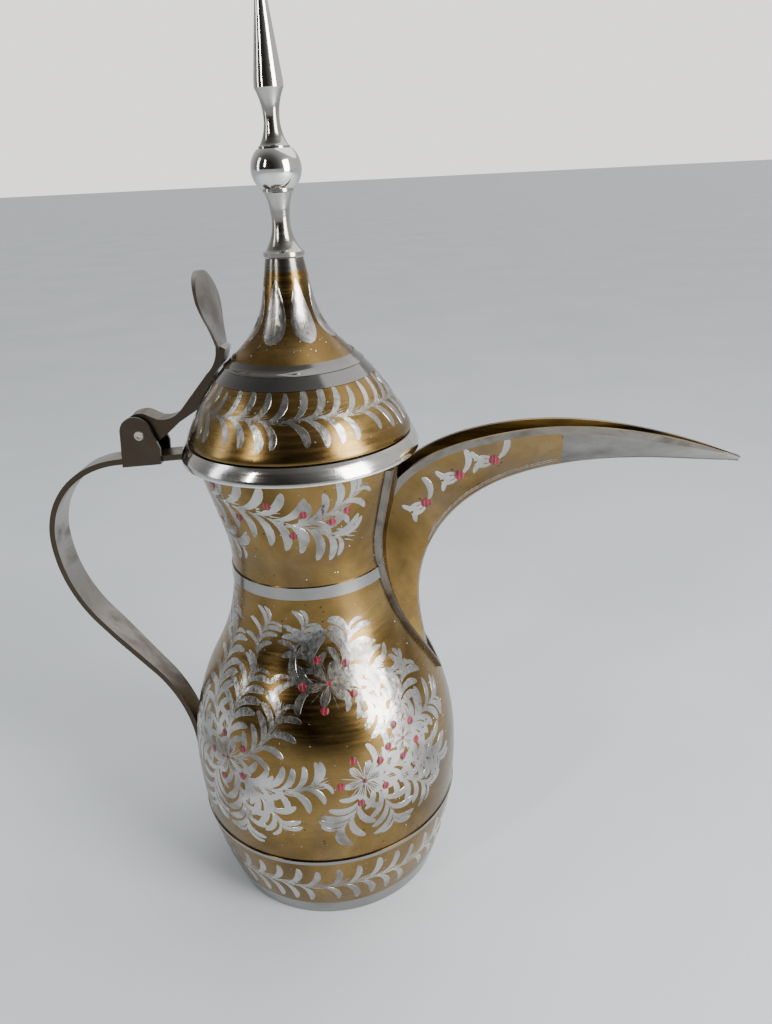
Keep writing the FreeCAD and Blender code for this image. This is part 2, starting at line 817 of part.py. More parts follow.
def make_pin(document, sheet):
    """The hinge pin, riveted over outside the ears with a dimple in each head."""
    half = sheet.strap_root_width / 2 + sheet.solder_gap + sheet.ear_gauge
    end = half + sheet.pin_head_height
    radius = sheet.pin_radius
    head = sheet.pin_head_radius
    dimple = head * 0.5
    body = new_body(document, "hinge_pin")
    sketch = new_sketch(body, "hinge_pin_section", "XY_Plane")
    draw_outline(sketch, [
        (plain(0), (end - 0.3).minus()),
        (dimple, end.minus()),
        (head - 0.2, end.minus()),
        (head, half.minus()),
        (radius, half.minus()),
        (radius, half),
        (head, half),
        (head - 0.2, end),
        (dimple, end),
        (plain(0), end - 0.3)])
    turn = body.newObject("PartDesign::Revolution", "hinge_pin_turn")
    turn.Profile = sketch
    turn.ReferenceAxis = (sketch, ["V_Axis"])
    turn.Angle = 360
    body.Placement.Base = Vector(-sheet.pin_reach.value, 0, sheet.pin_level.value)
    body.setExpression("Placement.Base.x", sheet.pin_reach.minus().text)
    body.setExpression("Placement.Base.z", sheet.pin_level.text)
    return body


def bracket_rivets(sheet):
    """Two rivets that hold strap and bracket together under the hinge."""
    below = sheet.strap_gauge.value / 2 + sheet.bracket_floor.value + sheet.solder_gap.value
    height = sheet.strap_gauge.value + sheet.bracket_floor.value
    tilt = math.radians(sheet.strap_tilt.value)
    upwards = Vector(-math.sin(tilt), 0, math.cos(tilt))
    wide = sheet.rivet_head_radius.value * 0.7
    thick = sheet.rivet_head_height.value * 0.7
    rivets = []
    for reach in (sheet.ear_back_reach - 2.5, sheet.ear_front_reach + 2.5):
        place = Vector(-reach.value, 0, strap_height(sheet, reach).value) - upwards * below
        shank = Part.makeCylinder(sheet.rivet_radius.value * 0.7, height, place, upwards)
        head = Part.makeCone(wide * 0.6, wide, thick, place - upwards * thick, upwards)
        rivets.append(shank.fuse(head).removeSplitter())
    return rivets


def foot_rivets(sheet):
    """Two rivets through the strap's foot into the bowl's wall."""
    pad = sheet.belly_radius.value - sheet.sheet_wall.value - 1.2
    face = sheet.belly_radius.value + sheet.solder_gap.value + sheet.strap_gauge.value
    rivets = []
    for level in (sheet.strap_foot_end.value + 3, sheet.strap_foot_end.value + 9):
        place = Vector(-pad, 0, level)
        outwards = Vector(-1, 0, 0)
        shank = Part.makeCylinder(sheet.rivet_radius.value, face - pad, place, outwards)
        head = Part.makeCone(sheet.rivet_head_radius.value, sheet.rivet_head_radius.value * 0.6,
                             sheet.rivet_head_height.value, Vector(-face, 0, level), outwards)
        rivets.append(shank.fuse(head).removeSplitter())
    return rivets


def cut_piece(document, label, piece, shape):
    """The piece again with a shape cut out of it."""
    tool = document.addObject("Part::Feature", label + "_cutter")
    tool.Shape = shape
    cut = document.addObject("Part::Cut", label)
    cut.Label = label
    cut.Base = piece
    cut.Tool = tool
    return cut


# ---------------------------------------------------------------- the lever

def lever_outline(sheet):
    """The lever from the side: knuckle, lower edge along dome and band, leaf's foot and upper edge."""
    reach = sheet.pin_reach
    level = sheet.pin_level
    knuckle = sheet.knuckle_radius
    turn = plain(35)
    base = lid_base(sheet)
    seat = sheet.lever_seat_gap
    touch_level = base + 9.2
    band_low = base + sheet.lid_band_low_rise - 0.4
    band_middle = base + sheet.dome_top_rise + 0.2
    clear = seat + sheet.lid_band_wall + sheet.lid_band_rib + 0.3
    under_band = dome_surface(sheet, band_low, seat)
    return [
        ((reach - knuckle * turn.cosine()).minus(), level - knuckle * turn.sine()),
        ((reach - 10.1).minus(), level - 0.1),
        ((reach - 15).minus(), level + 4.1),
        (dome_surface(sheet, touch_level, seat).minus(), touch_level, "right", sheet.dome_bend + seat),
        (under_band.minus(), band_low),
        ((under_band + clear - 0.2).minus(), band_low + 0.3),
        ((sheet.dome_top_radius + clear + 0.2).minus(), band_middle),
        ((sheet.dome_top_radius - 0.1).minus(), band_middle + 4.6),
        ((sheet.dome_top_radius + 1.6).minus(), band_middle + 5.6),
        ((sheet.dome_top_radius + 3.4).minus(), band_middle + 5.2, "right", plain(12)),
        ((reach - 28).minus(), level + 22),
        ((reach - 16.5).minus(), level + 8.9, "right", plain(10.4)),
        ((reach - 7).minus(), level + 5.5),
        ((reach - 2.7).minus(), level + 7.6, "left", sheet.knuckle_crown_bend),
        ((reach + knuckle).minus(), level, "left", knuckle)]


def leaf_outline(sheet):
    """The thumb leaf from the front: a stalk that swells to a rounded leaf."""
    half = sheet.leaf_width / 2
    stalk = sheet.lever_width / 2
    foot = sheet.leaf_widest_level - 22
    shoulder = sheet.leaf_widest_level - 8
    top = sheet.leaf_top_level
    return [
        (stalk.minus(), foot),
        (stalk, foot, "right", plain(42)),
        (half - 3.4, shoulder, "left", plain(16)),
        (half, sheet.leaf_widest_level, "left", plain(12)),
        (plain(0), top, "left", plain(12)),
        (half.minus(), sheet.leaf_widest_level, "left", plain(16)),
        ((half - 3.4).minus(), shoulder, "right", plain(42))]


def make_lever(document, sheet):
    """The lid's lever: a knuckle on the pin, an arm up the dome and an upright thumb leaf."""
    hole = (sheet.pin_reach.minus(), sheet.pin_level, sheet.pin_radius + sheet.pin_clearance)
    arm = side_plate(document, "lever_arm", lever_outline(sheet), sheet.lever_width, hole)
    foot = sheet.leaf_widest_level - 17
    top = sheet.leaf_top_level + 1
    leaf_side = side_plate(document, "leaf_bend", [
        (plain(-24.8), foot),
        (plain(-29.9), top),
        (plain(-31.8), top, "right", plain(160)),
        (plain(-26.0), foot)], sheet.leaf_width)
    leaf_front = new_body(document, "leaf_front")
    sketch = new_sketch(leaf_front, "leaf_front_outline", "YZ_Plane")
    draw_outline(sketch, leaf_outline(sheet))
    pad = leaf_front.newObject("PartDesign::Pad", "leaf_front_depth")
    pad.Profile = sketch
    pad.SideType = "Symmetric"
    pad.setExpression("Length", (sheet.pin_reach * 2).text)
    leaf = document.addObject("Part::Common", "leaf")
    leaf.Base = leaf_side
    leaf.Tool = leaf_front
    lever = document.addObject("Part::Fuse", "lid_lever")
    lever.Label = "lid_lever"
    lever.Base = arm
    lever.Tool = leaf
    lever.Refine = True
    return lever


# ---------------------------------------------------------------- the spout

def curve_through(points):
    curve = Part.BSplineCurve()
    curve.interpolate([Vector(x, 0, z) for x, z in points])
    return curve


def spout_stations(sheet, count):
    """Matching points along keel and crest, root first, with the trough's half width at each."""
    tip = (sheet.spout_reach.value, sheet.spout_tip_level.value)
    crest_top = (sheet.crest_reach.value, sheet.crest_level.value)
    root_top = (sheet.crest_root_reach.value, sheet.crest_root_level.value)
    keel = curve_through([(47.5, 86.0), (41.6, 112.0), (44.2, 141.0), (59.0, 162.1), (96.0, 176.9),
                          (130.0, 178.4), (tip[0], tip[1] - 0.6)])
    crest = curve_through([(40.0, 86.0), (27.0, 112.0), (24.0, 143.0), root_top, (62.0, 187.4),
                           crest_top, (127.0, 187.2), (tip[0] + 0.4, tip[1] + 0.6)])
    widest = sheet.spout_half_width.value
    stations = []
    lows = keel.discretize(Number=count)
    tops = crest.discretize(Number=count)
    for index, (low, top) in enumerate(zip(lows, tops)):
        share = index / (count - 1)
        swell = math.sin(math.pi * min(1, 0.12 + 1.16 * share)) if share < 0.33 else 1
        taper = min(1, (1 - share) / 0.42) ** 0.75 if share > 0.58 else 1
        half = max(0.45, widest * min(1, 0.35 + 0.65 * swell) * taper)
        stations.append((low, top, half))
    return stations


def ring_wire(points):
    return Part.makePolygon(points + [points[0]])


def trough_solid(stations, inset):
    """The spout's full form, or with an inset the hollow that makes it a trough."""
    wires = []
    for low, top, half in stations:
        up = top - low
        depth = up.Length
        up.normalize()
        floor = low + up * min(inset * 1.3, depth * 0.6)
        roof = top + up * (2.0 if inset else 0.0)
        wide = max(half - inset, half * 0.3)
        keel_half = min(1.3, half * 0.8) - min(inset * 0.9, half * 0.4)
        side = Vector(0, 1, 0)
        middle = floor + (top - floor) * 0.45
        belly = keel_half + (wide - keel_half) * 0.68
        wires.append(ring_wire([floor - side * keel_half, middle - side * belly, roof - side * wide,
                                roof + side * wide, middle + side * belly, floor + side * keel_half]))
    return Part.makeLoft(wires, True, False)


def hem_solid(stations, height, gauge, sign):
    """The strip folded outside the top edge of one cheek."""
    wires = []
    for low, top, half in stations:
        edge = top + Vector(0, sign * half, 0)
        keel_half = min(1.3, half * 0.8)
        bulge = low + (top - low) * 0.45 + Vector(0, sign * (keel_half + (half - keel_half) * 0.68), 0)
        down = bulge - edge
        reach = min(height, down.Length * 0.55)
        down.normalize()
        out = Vector(0, sign * gauge, 0)
        skin = Vector(0, sign * 0.02, 0)
        wires.append(ring_wire([edge + skin, edge + skin + out, edge + skin + out + down * reach,
                                edge + skin + down * reach]))
    return Part.makeLoft(wires, True, False)


def keel_solid(stations, width, gauge):
    """The thin strip soldered along the keel."""
    wires = []
    for low, top, half in stations:
        up = top - low
        up.normalize()
        wide = min(width / 2, half * 0.9)
        side = Vector(0, wide, 0)
        wires.append(ring_wire([low - side, low + side, low + side * 0.7 - up * gauge,
                                low - side * 0.7 - up * gauge]))
    return Part.makeLoft(wires, True, False)


def half_space(sign):
    box = Part.makeBox(240, 60, 240, Vector(-20, 0, 20))
    if sign < 0:
        box.translate(Vector(0, -60, 0))
    return box


def seam_prism(sheet, grow):
    """The spout's root as seen along X: a long leaf standing on its point, as a prism."""
    low = sheet.flange_foot.value - grow * 1.6
    top = sheet.flange_top.value
    half = sheet.flange_half_width.value + grow
    belly = half * 0.5 + 1.6 + grow * 0.3
    mid = (low + top) / 2
    right = Part.Arc(Vector(0, 0, low), Vector(0, belly, mid), Vector(0, half, top)).toShape()
    lid = Part.LineSegment(Vector(0, half, top), Vector(0, -half, top)).toShape()
    left = Part.Arc(Vector(0, -half, top), Vector(0, -belly, mid), Vector(0, 0, low)).toShape()
    face = Part.Face(Part.Wire([right, lid, left]))
    return face.extrude(Vector(80, 0, 0))


def make_spout(document, sheet):
    """The open beak: two cheeks, hems, keel strip, and the flange and bead round its root."""
    stations = spout_stations(sheet, 13)
    pot = pot_solid(sheet, 0.02)
    full = trough_solid(stations, 0)
    trough = full.cut(trough_solid(stations, sheet.spout_wall.value)).cut(pot)
    hems = [hem_solid(stations, sheet.hem_height.value, sheet.hem_gauge.value, sign) for sign in (1, -1)]
    keel = keel_solid(stations, sheet.keel_strip_width.value, sheet.keel_strip_gauge.value)
    pieces = []
    for sign, side in ((1, "left"), (-1, "right")):
        cheek = largest(trough.common(half_space(sign)))
        pieces.append(shaped(document, "spout_%s_cheek" % side, cheek))
        hem = largest(hems[0 if sign > 0 else 1].cut(pot).cut(full))
        pieces.append(shaped(document, "spout_%s_hem" % side, hem))
    pieces.append(shaped(document, "spout_keel_strip", largest(keel.cut(pot).cut(full))))
    flange_skin = pot_solid(sheet, 0.03 + sheet.flange_gauge.value).cut(pot_solid(sheet, 0.03))
    flange = flange_skin.common(seam_prism(sheet, 0)).cut([full, keel] + hems)
    pieces.append(shaped(document, "spout_flange", clean_solids(flange)))
    bead_skin = pot_solid(sheet, 0.03 + sheet.bead_gauge.value).cut(pot_solid(sheet, 0.03))
    ring = seam_prism(sheet, sheet.bead_width.value).cut(seam_prism(sheet, 0.05))
    bead = bead_skin.common(ring).cut([full, keel] + hems)
    pieces.append(shaped(document, "spout_bead", clean_solids(bead)))
    return pieces


def largest(shape):
    return max(shape.Solids, key=lambda solid: solid.Volume)


def clean_solids(shape):
    """All the real solids of a cut, without slivers."""
    kept = [solid for solid in shape.Solids if solid.Volume > 5]
    return kept[0] if len(kept) == 1 else Part.makeCompound(kept)


# ---------------------------------------------------------------- the assembly

def build(document):
    sheet = Sheet(document)
    base_rivets = foot_rivets(sheet)
    hinge_rivets = bracket_rivets(sheet)
    bowl_blank = make_bowl(document, sheet)
    strap_blank = make_strap(document, sheet)
    bracket_blank = make_bracket(document, sheet)
    bowl_blank.Label = "bowl_blank"
    pieces = [
        cut_piece(document, "bowl", bowl_blank, Part.makeCompound(base_rivets)),
        cut_piece(document, "handle_strap", strap_blank, Part.makeCompound(base_rivets + hinge_rivets)),
        cut_piece(document, "hinge_bracket", bracket_blank, Part.makeCompound(hinge_rivets)),
        shaped(document, "handle_foot_rivets", Part.makeCompound(base_rivets)),
        shaped(document, "bracket_rivets", Part.makeCompound(hinge_rivets))]
    makers = (make_neck, make_waist_band, make_base_plate, make_foot_ring, make_belly_ring,
              make_mouth_ring, make_pin, make_lid_dome, make_lid_neck, make_lid_band,
              make_lid_sleeve, make_lever, make_lower_stem, make_ball, make_upper_stem,
              make_spire, make_rod, make_washer, make_nut)
    pieces += [make(document, sheet) for make in makers]
    pieces += make_spout(document, sheet)
    document.recompute()
    return pieces


def check(document, pieces):
    """Stops the build if anything failed to compute."""
    for item in document.Objects:
        if {"Invalid", "Error"} & set(item.State):
            raise RuntimeError("%s failed: %s" % (item.Name, item.State))
    for piece in pieces:
        if piece.Shape.isNull() or not piece.Shape.isValid() or not piece.Shape.Solids:
            raise RuntimeError("%s has no valid solid" % piece.Label)


def main():
    document = FreeCAD.newDocument("dallah")
    pieces = build(document)
    check(document, pieces)
    os.makedirs("parts", exist_ok=True)
    for piece in pieces:
        piece.Shape.exportStep("parts/%s.step" % piece.Label)
        print("%-22s %9.1f mm3  %d solid(s)" % (piece.Label, piece.Shape.Volume, len(piece.Shape.Solids)))


main()
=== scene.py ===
import math
import random

import bmesh
import bpy
from mathutils import Matrix, Vector
from mathutils.bvhtree import BVHTree


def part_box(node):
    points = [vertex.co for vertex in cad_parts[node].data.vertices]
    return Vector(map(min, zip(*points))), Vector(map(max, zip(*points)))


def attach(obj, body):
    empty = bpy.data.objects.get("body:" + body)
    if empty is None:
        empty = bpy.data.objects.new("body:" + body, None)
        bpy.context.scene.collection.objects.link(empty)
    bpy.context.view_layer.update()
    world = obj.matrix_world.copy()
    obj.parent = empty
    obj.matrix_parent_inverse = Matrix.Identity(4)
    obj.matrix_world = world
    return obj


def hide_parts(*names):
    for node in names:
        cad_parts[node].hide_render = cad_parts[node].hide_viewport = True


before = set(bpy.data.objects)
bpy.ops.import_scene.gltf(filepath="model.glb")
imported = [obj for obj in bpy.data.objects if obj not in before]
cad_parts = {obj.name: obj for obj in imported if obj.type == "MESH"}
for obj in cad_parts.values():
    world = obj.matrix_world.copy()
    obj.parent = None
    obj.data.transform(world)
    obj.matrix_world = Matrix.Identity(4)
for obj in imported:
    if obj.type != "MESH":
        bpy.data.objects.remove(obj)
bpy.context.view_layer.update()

MM = 0.001
POT = "pot"
LID = "lid"
BARE_COLLAR = 4 * MM     # the plain plate at the top of the lid's neck
LACQUER_SHARE = 0.51     # of the beak's length is lacquered

CAMERA_PLACE = (0.0615, -0.2895, 0.2801)  # m
CAMERA_HEADING = -6.175  # degrees, towards the handle side
CAMERA_PITCH = 22.85     # degrees, downwards
CAMERA_ROLL = -2.97      # degrees
CAMERA_LENS = 29.26      # mm
SENSOR = 36              # mm
LIT_AT = (0, 0, 0.15)    # m, just above the waist

SKIN_CREASE = 32         # degrees: a sharper edge of a metal piece stays crisp
FIGURE_CREASE = 24       # degrees: the same for the cut figures
MERGE_DISTANCE = 2e-6    # m
SLIVER = 1e-7            # m
OUTSIDE = 0.15           # m from the axis, clear of every engraved wall
SEARCH_STEP = 0.25       # mm

BERRY_WIDTH = 3.1        # mm
BERRY_TURN = 25          # degrees, the turn of its facets
BERRY_OFF_STEM = 0.32    # of a leaf's length
BERRY_OFF_FLOWER = 1.15  # of a petal's length
SUNK = 0.05              # mm that a figure's underside lies in its wall
STANDS = {"strand": 0.055, "leaf_left": 0.075, "leaf_right": 0.085, "petal": 0.10, "drop": 0.10,
          "stroke": 0.15, "berry": 0.17, "speck": 0.12}  # mm that a figure's height 1 stands proud
LEAF_TWIN = {"leaf_left": "leaf_right", "leaf_right": "leaf_left"}
FIGURE_NAMES = {"cut": "cut_figures", "enamel": "enamel_berries", "groove": "graver_strokes"}
POINT_FIELDS = ("across", "height", "turn", "reach", "arm", "lean", "side")


# ------------------------------------------------------------ camera and light

def place_camera():
    """The camera stands in front of the pot and above it, turned and rolled a little."""
    heading = math.radians(CAMERA_HEADING)
    pitch = math.radians(CAMERA_PITCH)
    roll = math.radians(CAMERA_ROLL)
    forward = Vector((math.sin(heading) * math.cos(pitch), math.cos(heading) * math.cos(pitch),
                      -math.sin(pitch)))
    level_right = Vector((math.cos(heading), -math.sin(heading), 0))
    level_up = level_right.cross(forward)
    right = math.cos(roll) * level_right + math.sin(roll) * level_up
    up = -math.sin(roll) * level_right + math.cos(roll) * level_up
    data = bpy.data.cameras.new("front_camera")
    data.lens = CAMERA_LENS
    data.sensor_width = SENSOR
    data.clip_start = 0.01
    camera = bpy.data.objects.new("front_camera", data)
    turn = Matrix((right, up, -forward)).transposed().to_4x4()
    camera.matrix_world = Matrix.Translation(CAMERA_PLACE) @ turn
    bpy.context.collection.objects.link(camera)
    bpy.context.scene.camera = camera


def soft_light(name, place, target, width, height, power, colour):
    """A rectangular lamp that looks at a target."""
    data = bpy.data.lights.new(name, "AREA")
    data.shape = "RECTANGLE"
    data.size = width
    data.size_y = height
    data.energy = power
    data.color = colour
    lamp = bpy.data.objects.new(name, data)
    lamp.location = place
    lamp.rotation_euler = (Vector(target) - Vector(place)).to_track_quat("-Z", "Y").to_euler()
    bpy.context.collection.objects.link(lamp)


def skylight():
    """A wide, soft light from above, a little from behind and from the right."""
    sky = bpy.data.lights.new("skylight", "SUN")
    sky.energy = 1.35
    sky.angle = math.radians(70)
    lamp = bpy.data.objects.new("skylight", sky)
    lamp.rotation_euler = (math.radians(-28), math.radians(22), 0)
    bpy.context.collection.objects.link(lamp)


def surroundings():
    """A plain pale backdrop to the eye, and to the metal a room that darkens towards the front."""
    world = bpy.data.worlds.new("studio")
    bpy.context.scene.world = world
    world.use_nodes = True
    tree = world.node_tree
    tree.nodes.clear()

    def add(kind):
        return tree.nodes.new(kind)

    def link(source, socket):
        tree.links.new(source, socket)

    backdrop = add("ShaderNodeBackground")
    backdrop.inputs["Color"].default_value = (1.7, 1.67, 1.61, 1)
    split = add("ShaderNodeSeparateXYZ")
    link(add("ShaderNodeTexCoord").outputs["Generated"], split.inputs[0])

    behind = add("ShaderNodeMath")
    behind.operation = "MULTIPLY_ADD"
    behind.inputs[1].default_value = 0.55
    link(split.outputs["X"], behind.inputs[0])
    link(split.outputs["Y"], behind.inputs[2])
    depth = add("ShaderNodeMapRange")
    depth.inputs["From Min"].default_value = -1.0
    depth.inputs["From Max"].default_value = 0.5
    link(behind.outputs[0], depth.inputs["Value"])

    ceiling = add("ShaderNodeMapRange")
    ceiling.inputs["From Min"].default_value = 0.55
    ceiling.inputs["From Max"].default_value = 1.0
    ceiling.inputs["To Max"].default_value = 0.4
    link(split.outputs["Z"], ceiling.inputs["Value"])
    brighter = add("ShaderNodeMath")
    brighter.operation = "MAXIMUM"
    link(depth.outputs[0], brighter.inputs[0])
    link(ceiling.outputs[0], brighter.inputs[1])

    walls = add("ShaderNodeValToRGB")
    walls.color_ramp.elements[0].color = (0.025, 0.022, 0.02, 1)
    walls.color_ramp.elements[1].color = (0.66, 0.66, 0.65, 1)
    for share, grey in ((0.22, 0.10), (0.45, 0.27)):
        walls.color_ramp.elements.new(share).color = (grey, grey, grey * 0.97, 1)
    link(brighter.outputs[0], walls.inputs[0])
    room = add("ShaderNodeBackground")
    link(walls.outputs[0], room.inputs["Color"])

    choose = add("ShaderNodeMixShader")
    link(add("ShaderNodeLightPath").outputs["Is Camera Ray"], choose.inputs[0])
    link(room.outputs[0], choose.inputs[1])
    link(backdrop.outputs[0], choose.inputs[2])
    link(choose.outputs[0], add("ShaderNodeOutputWorld").inputs[0])


def light_studio():
    """A tall window on the right, a weak fill and a doorway on the left, a skylight and the room."""
    soft_light("window", (0.75, -0.42, 0.42), LIT_AT, 0.40, 0.7, 14.0, (1, 0.99, 0.96))
    soft_light("left_fill", (-0.8, -0.2, 0.5), LIT_AT, 0.14, 0.6, 1.2, (0.93, 0.96, 1))
    soft_light("doorway", (-0.6, -0.72, 0.62), (0, 0, 0.12), 0.06, 0.42, 2.6, (1, 0.97, 0.90))
    skylight()
    surroundings()


# ------------------------------------------------------------ materials

class Finish:
    """A material under construction, with short ways to add the nodes that these finishes share."""

    def __init__(self, name, colour, metal, rough):
        self.material = bpy.data.materials.new(name)
        self.material.use_nodes = True
        self.tree = self.material.node_tree
        self.surface = next(n for n in self.tree.nodes if n.type == "BSDF_PRINCIPLED")
        self.surface.inputs["Base Color"].default_value = (*colour, 1)
        self.surface.inputs["Metallic"].default_value = metal
        self.surface.inputs["Roughness"].default_value = rough
        self.place = self.tree.nodes.new("ShaderNodeTexCoord").outputs["Object"]
        self.bumps = None

    def link(self, source, socket):
        self.tree.links.new(source, socket)

    def stretched(self, scale):
        """The piece's own coordinates, scaled along each axis."""
        node = self.tree.nodes.new("ShaderNodeMapping")
        node.inputs["Scale"].default_value = scale
        self.link(self.place, node.inputs["Vector"])
        return node.outputs[0]

    def noise(self, scale, detail=4, stretch=None, rough=0.55, warp=0.0):
        node = self.tree.nodes.new("ShaderNodeTexNoise")
        node.inputs["Scale"].default_value = scale
        node.inputs["Detail"].default_value = detail
        node.inputs["Roughness"].default_value = rough
        node.inputs["Distortion"].default_value = warp
        self.link(self.stretched(stretch) if stretch else self.place, node.inputs["Vector"])
        return node.outputs["Fac"]

    def cells(self, scale):
        node = self.tree.nodes.new("ShaderNodeTexVoronoi")
        node.inputs["Scale"].default_value = scale
        self.link(self.place, node.inputs["Vector"])
        return node.outputs["Distance"]

    def ramp(self, source, *stops):
        """Colours at positions along a value; the first and last stop are the ends."""
        node = self.tree.nodes.new("ShaderNodeValToRGB")
        elements = node.color_ramp.elements
        elements[0].position, elements[1].position = stops[0][0], stops[-1][0]
        elements[0].color = (*stops[0][1], 1)
        elements[1].color = (*stops[-1][1], 1)
        for position, colour in stops[1:-1]:
            elements.new(position).color = (*colour, 1)
        self.link(source, node.inputs[0])
        return node.outputs[0]

    def span(self, source, low, high, to_low, to_high):
        """A value stretched from one range to another and held at its ends."""
        node = self.tree.nodes.new("ShaderNodeMapRange")
        node.inputs["From Min"].default_value = low
        node.inputs["From Max"].default_value = high
        node.inputs["To Min"].default_value = to_low
        node.inputs["To Max"].default_value = to_high
        self.link(source, node.inputs["Value"])
        return node.outputs[0]

    def math(self, operation, first, second):
        node = self.tree.nodes.new("ShaderNodeMath")
        node.operation = operation
        for socket, value in zip(node.inputs, (first, second)):
            if isinstance(value, (int, float)):
                socket.default_value = value
            else:
                self.link(value, socket)
        return node.outputs[0]

    def mix(self, amount, first, second, blend="MIX"):
        node = self.tree.nodes.new("ShaderNodeMix")
        node.data_type = "RGBA"
        node.blend_type = blend
        for name, value in (("Factor", amount), ("A", first), ("B", second)):
            kind = "VALUE" if name == "Factor" else "RGBA"
            socket = next(s for s in node.inputs if s.name == name and s.type == kind)
            if isinstance(value, (int, float)):
                socket.default_value = value
            elif isinstance(value, tuple):
                socket.default_value = (*value, 1)
            else:
                self.link(value, socket)
        return next(s for s in node.outputs if s.type == "RGBA")

    def facing_y(self, low, high):
        """How far the surface faces the side of the pot, either side."""
        node = self.tree.nodes.new("ShaderNodeSeparateXYZ")
        coordinates = self.tree.nodes.new("ShaderNodeTexCoord")
        self.link(coordinates.outputs["Normal"], node.inputs[0])
        return self.span(self.math("ABSOLUTE", node.outputs["Y"], 0.0), low, high, 0, 1)

    def height_above(self, axis, level, blur):
        """0 below a level on an axis of the pot's own frame and 1 above it."""
        node = self.tree.nodes.new("ShaderNodeSeparateXYZ")
        self.link(self.place, node.inputs[0])
        return self.span(node.outputs[axis], level - blur, level + blur, 0, 1)

    def colour(self, source):
        self.link(source, self.surface.inputs["Base Color"])

    def rough(self, source):
        self.link(source, self.surface.inputs["Roughness"])

    def bump(self, source, strength, depth):
        """Adds relief of a depth in metres to the relief that is already there."""
        node = self.tree.nodes.new("ShaderNodeBump")
        node.inputs["Strength"].default_value = strength
        node.inputs["Distance"].default_value = depth
        self.link(source, node.inputs["Height"])
        if self.bumps:
            self.link(self.bumps, node.inputs["Normal"])
        self.bumps = node.outputs[0]
        self.link(self.bumps, self.surface.inputs["Normal"])


def gold_lacquer(name="gold_lacquer", bare=None):
    """The brown-gold lacquered ground between the cut figures: cloudy, pitted and finely scratched.

    Past a level on one axis, bare = (axis, level, blur), the lacquer stops and the plate shows."""
    finish = Finish(name, (0.42, 0.28, 0.12), 1.0, 0.3)
    cloud = finish.noise(28, 5, warp=0.6)
    tone = finish.ramp(cloud, (0.30, (0.095, 0.056, 0.018)), (0.52, (0.215, 0.136, 0.046)),
                       (0.75, (0.34, 0.225, 0.083)))
    bruise = finish.noise(15, 3, warp=0.5)
    tone = finish.mix(finish.span(bruise, 0.56, 0.70, 0, 0.45), tone, (0.15, 0.125, 0.115))
    grime = finish.noise(160, 4)
    tone = finish.mix(finish.span(grime, 0.52, 0.75, 0, 0.45), tone, (0.13, 0.085, 0.04))
    pits = finish.span(finish.cells(310), 0.07, 0.15, 1, 0)
    sparse = finish.span(finish.noise(90, 2), 0.50, 0.56, 0, 1)
    pit = finish.math("MULTIPLY", pits, sparse)
    tone = finish.mix(pit, tone, (0.05, 0.03, 0.02))
    if bare:
        plate = finish.ramp(finish.noise(70, 5, (0.4, 1, 1)), (0.35, (0.14, 0.13, 0.12)),
                            (0.65, (0.31, 0.30, 0.28)))
        tone = finish.mix(finish.height_above(*bare), tone, plate)
    finish.colour(tone)
    scratch = finish.noise(60, 3, (1, 1, 14))
    finish.rough(finish.span(finish.math("ADD", cloud, scratch), 0.7, 1.3, 0.15, 0.34))
    finish.bump(finish.noise(700, 2), 0.10, 0.00008)
    finish.bump(finish.noise(24, 2), 0.22, 0.0012)
    return finish.material


def bright_plate(name, colour, rough_low, rough_high):
    """Polished nickel plate, with faint turning lines and light wear."""
    finish = Finish(name, colour, 1.0, 0.15)
    wear = finish.noise(70, 5)
    turned = finish.noise(22, 3, (1, 1, 40))
    dull = tuple(c * 0.72 for c in colour)
    finish.colour(finish.mix(finish.span(wear, 0.50, 0.78, 0, 0.8), colour, dull))
    finish.rough(finish.span(finish.math("ADD", wear, turned), 0.75, 1.3, rough_low, rough_high))
    finish.bump(turned, 0.06, 0.0001)
    finish.bump(finish.noise(45, 2), 0.10, 0.0008)
    return finish.material


def worn_nickel(name, colour, dark, rough, edge=None):
    """Satin plate worn by hands: smudged, scratched and browned, darker on the sides that face y."""
    finish = Finish(name, colour, 1.0, rough)
    smudge = finish.noise(48, 6, warp=1.2)
    tone = finish.mix(finish.span(smudge, 0.46, 0.70, 0, 0.85), colour, dark)
    streak = finish.noise(240, 4, (0.25, 1.6, 1))
    tone = finish.mix(finish.span(streak, 0.60, 0.74, 0, 0.5), tone, dark)
    if edge:
        tone = finish.mix(finish.facing_y(0.7, 0.95), tone, edge)
    finish.colour(tone)
    finish.rough(finish.span(smudge, 0.35, 0.75, rough - 0.09, rough + 0.13))
    finish.bump(streak, 0.22, 0.00012)
    finish.bump(finish.noise(1400, 2), 0.12, 0.00005)
    return finish.material


def cut_silver():
    """The bright metal laid bare by the graver: brushed, specked and tarnished in places."""
    finish = Finish("cut_silver", (0.80, 0.79, 0.77), 1.0, 0.3)
    tarnish = finish.noise(46, 5, warp=0.8)
    tone = finish.mix(finish.span(tarnish, 0.42, 0.66, 0, 0.8), (0.50, 0.49, 0.47), (0.14, 0.128, 0.115))
    pits = finish.span(finish.cells(900), 0.05, 0.16, 1, 0)
    sparse = finish.span(finish.noise(260, 2), 0.56, 0.60, 0, 1)
    finish.colour(finish.mix(finish.math("MULTIPLY", pits, sparse), tone, (0.07, 0.06, 0.05)))
    brushed = finish.noise(900, 3, (1, 1, 0.12))
    finish.rough(finish.span(finish.math("ADD", tarnish, brushed), 0.7, 1.3, 0.16, 0.36))
    finish.bump(brushed, 0.25, 0.00006)
    finish.bump(finish.noise(150, 2), 0.5, 0.0006)
    return finish.material


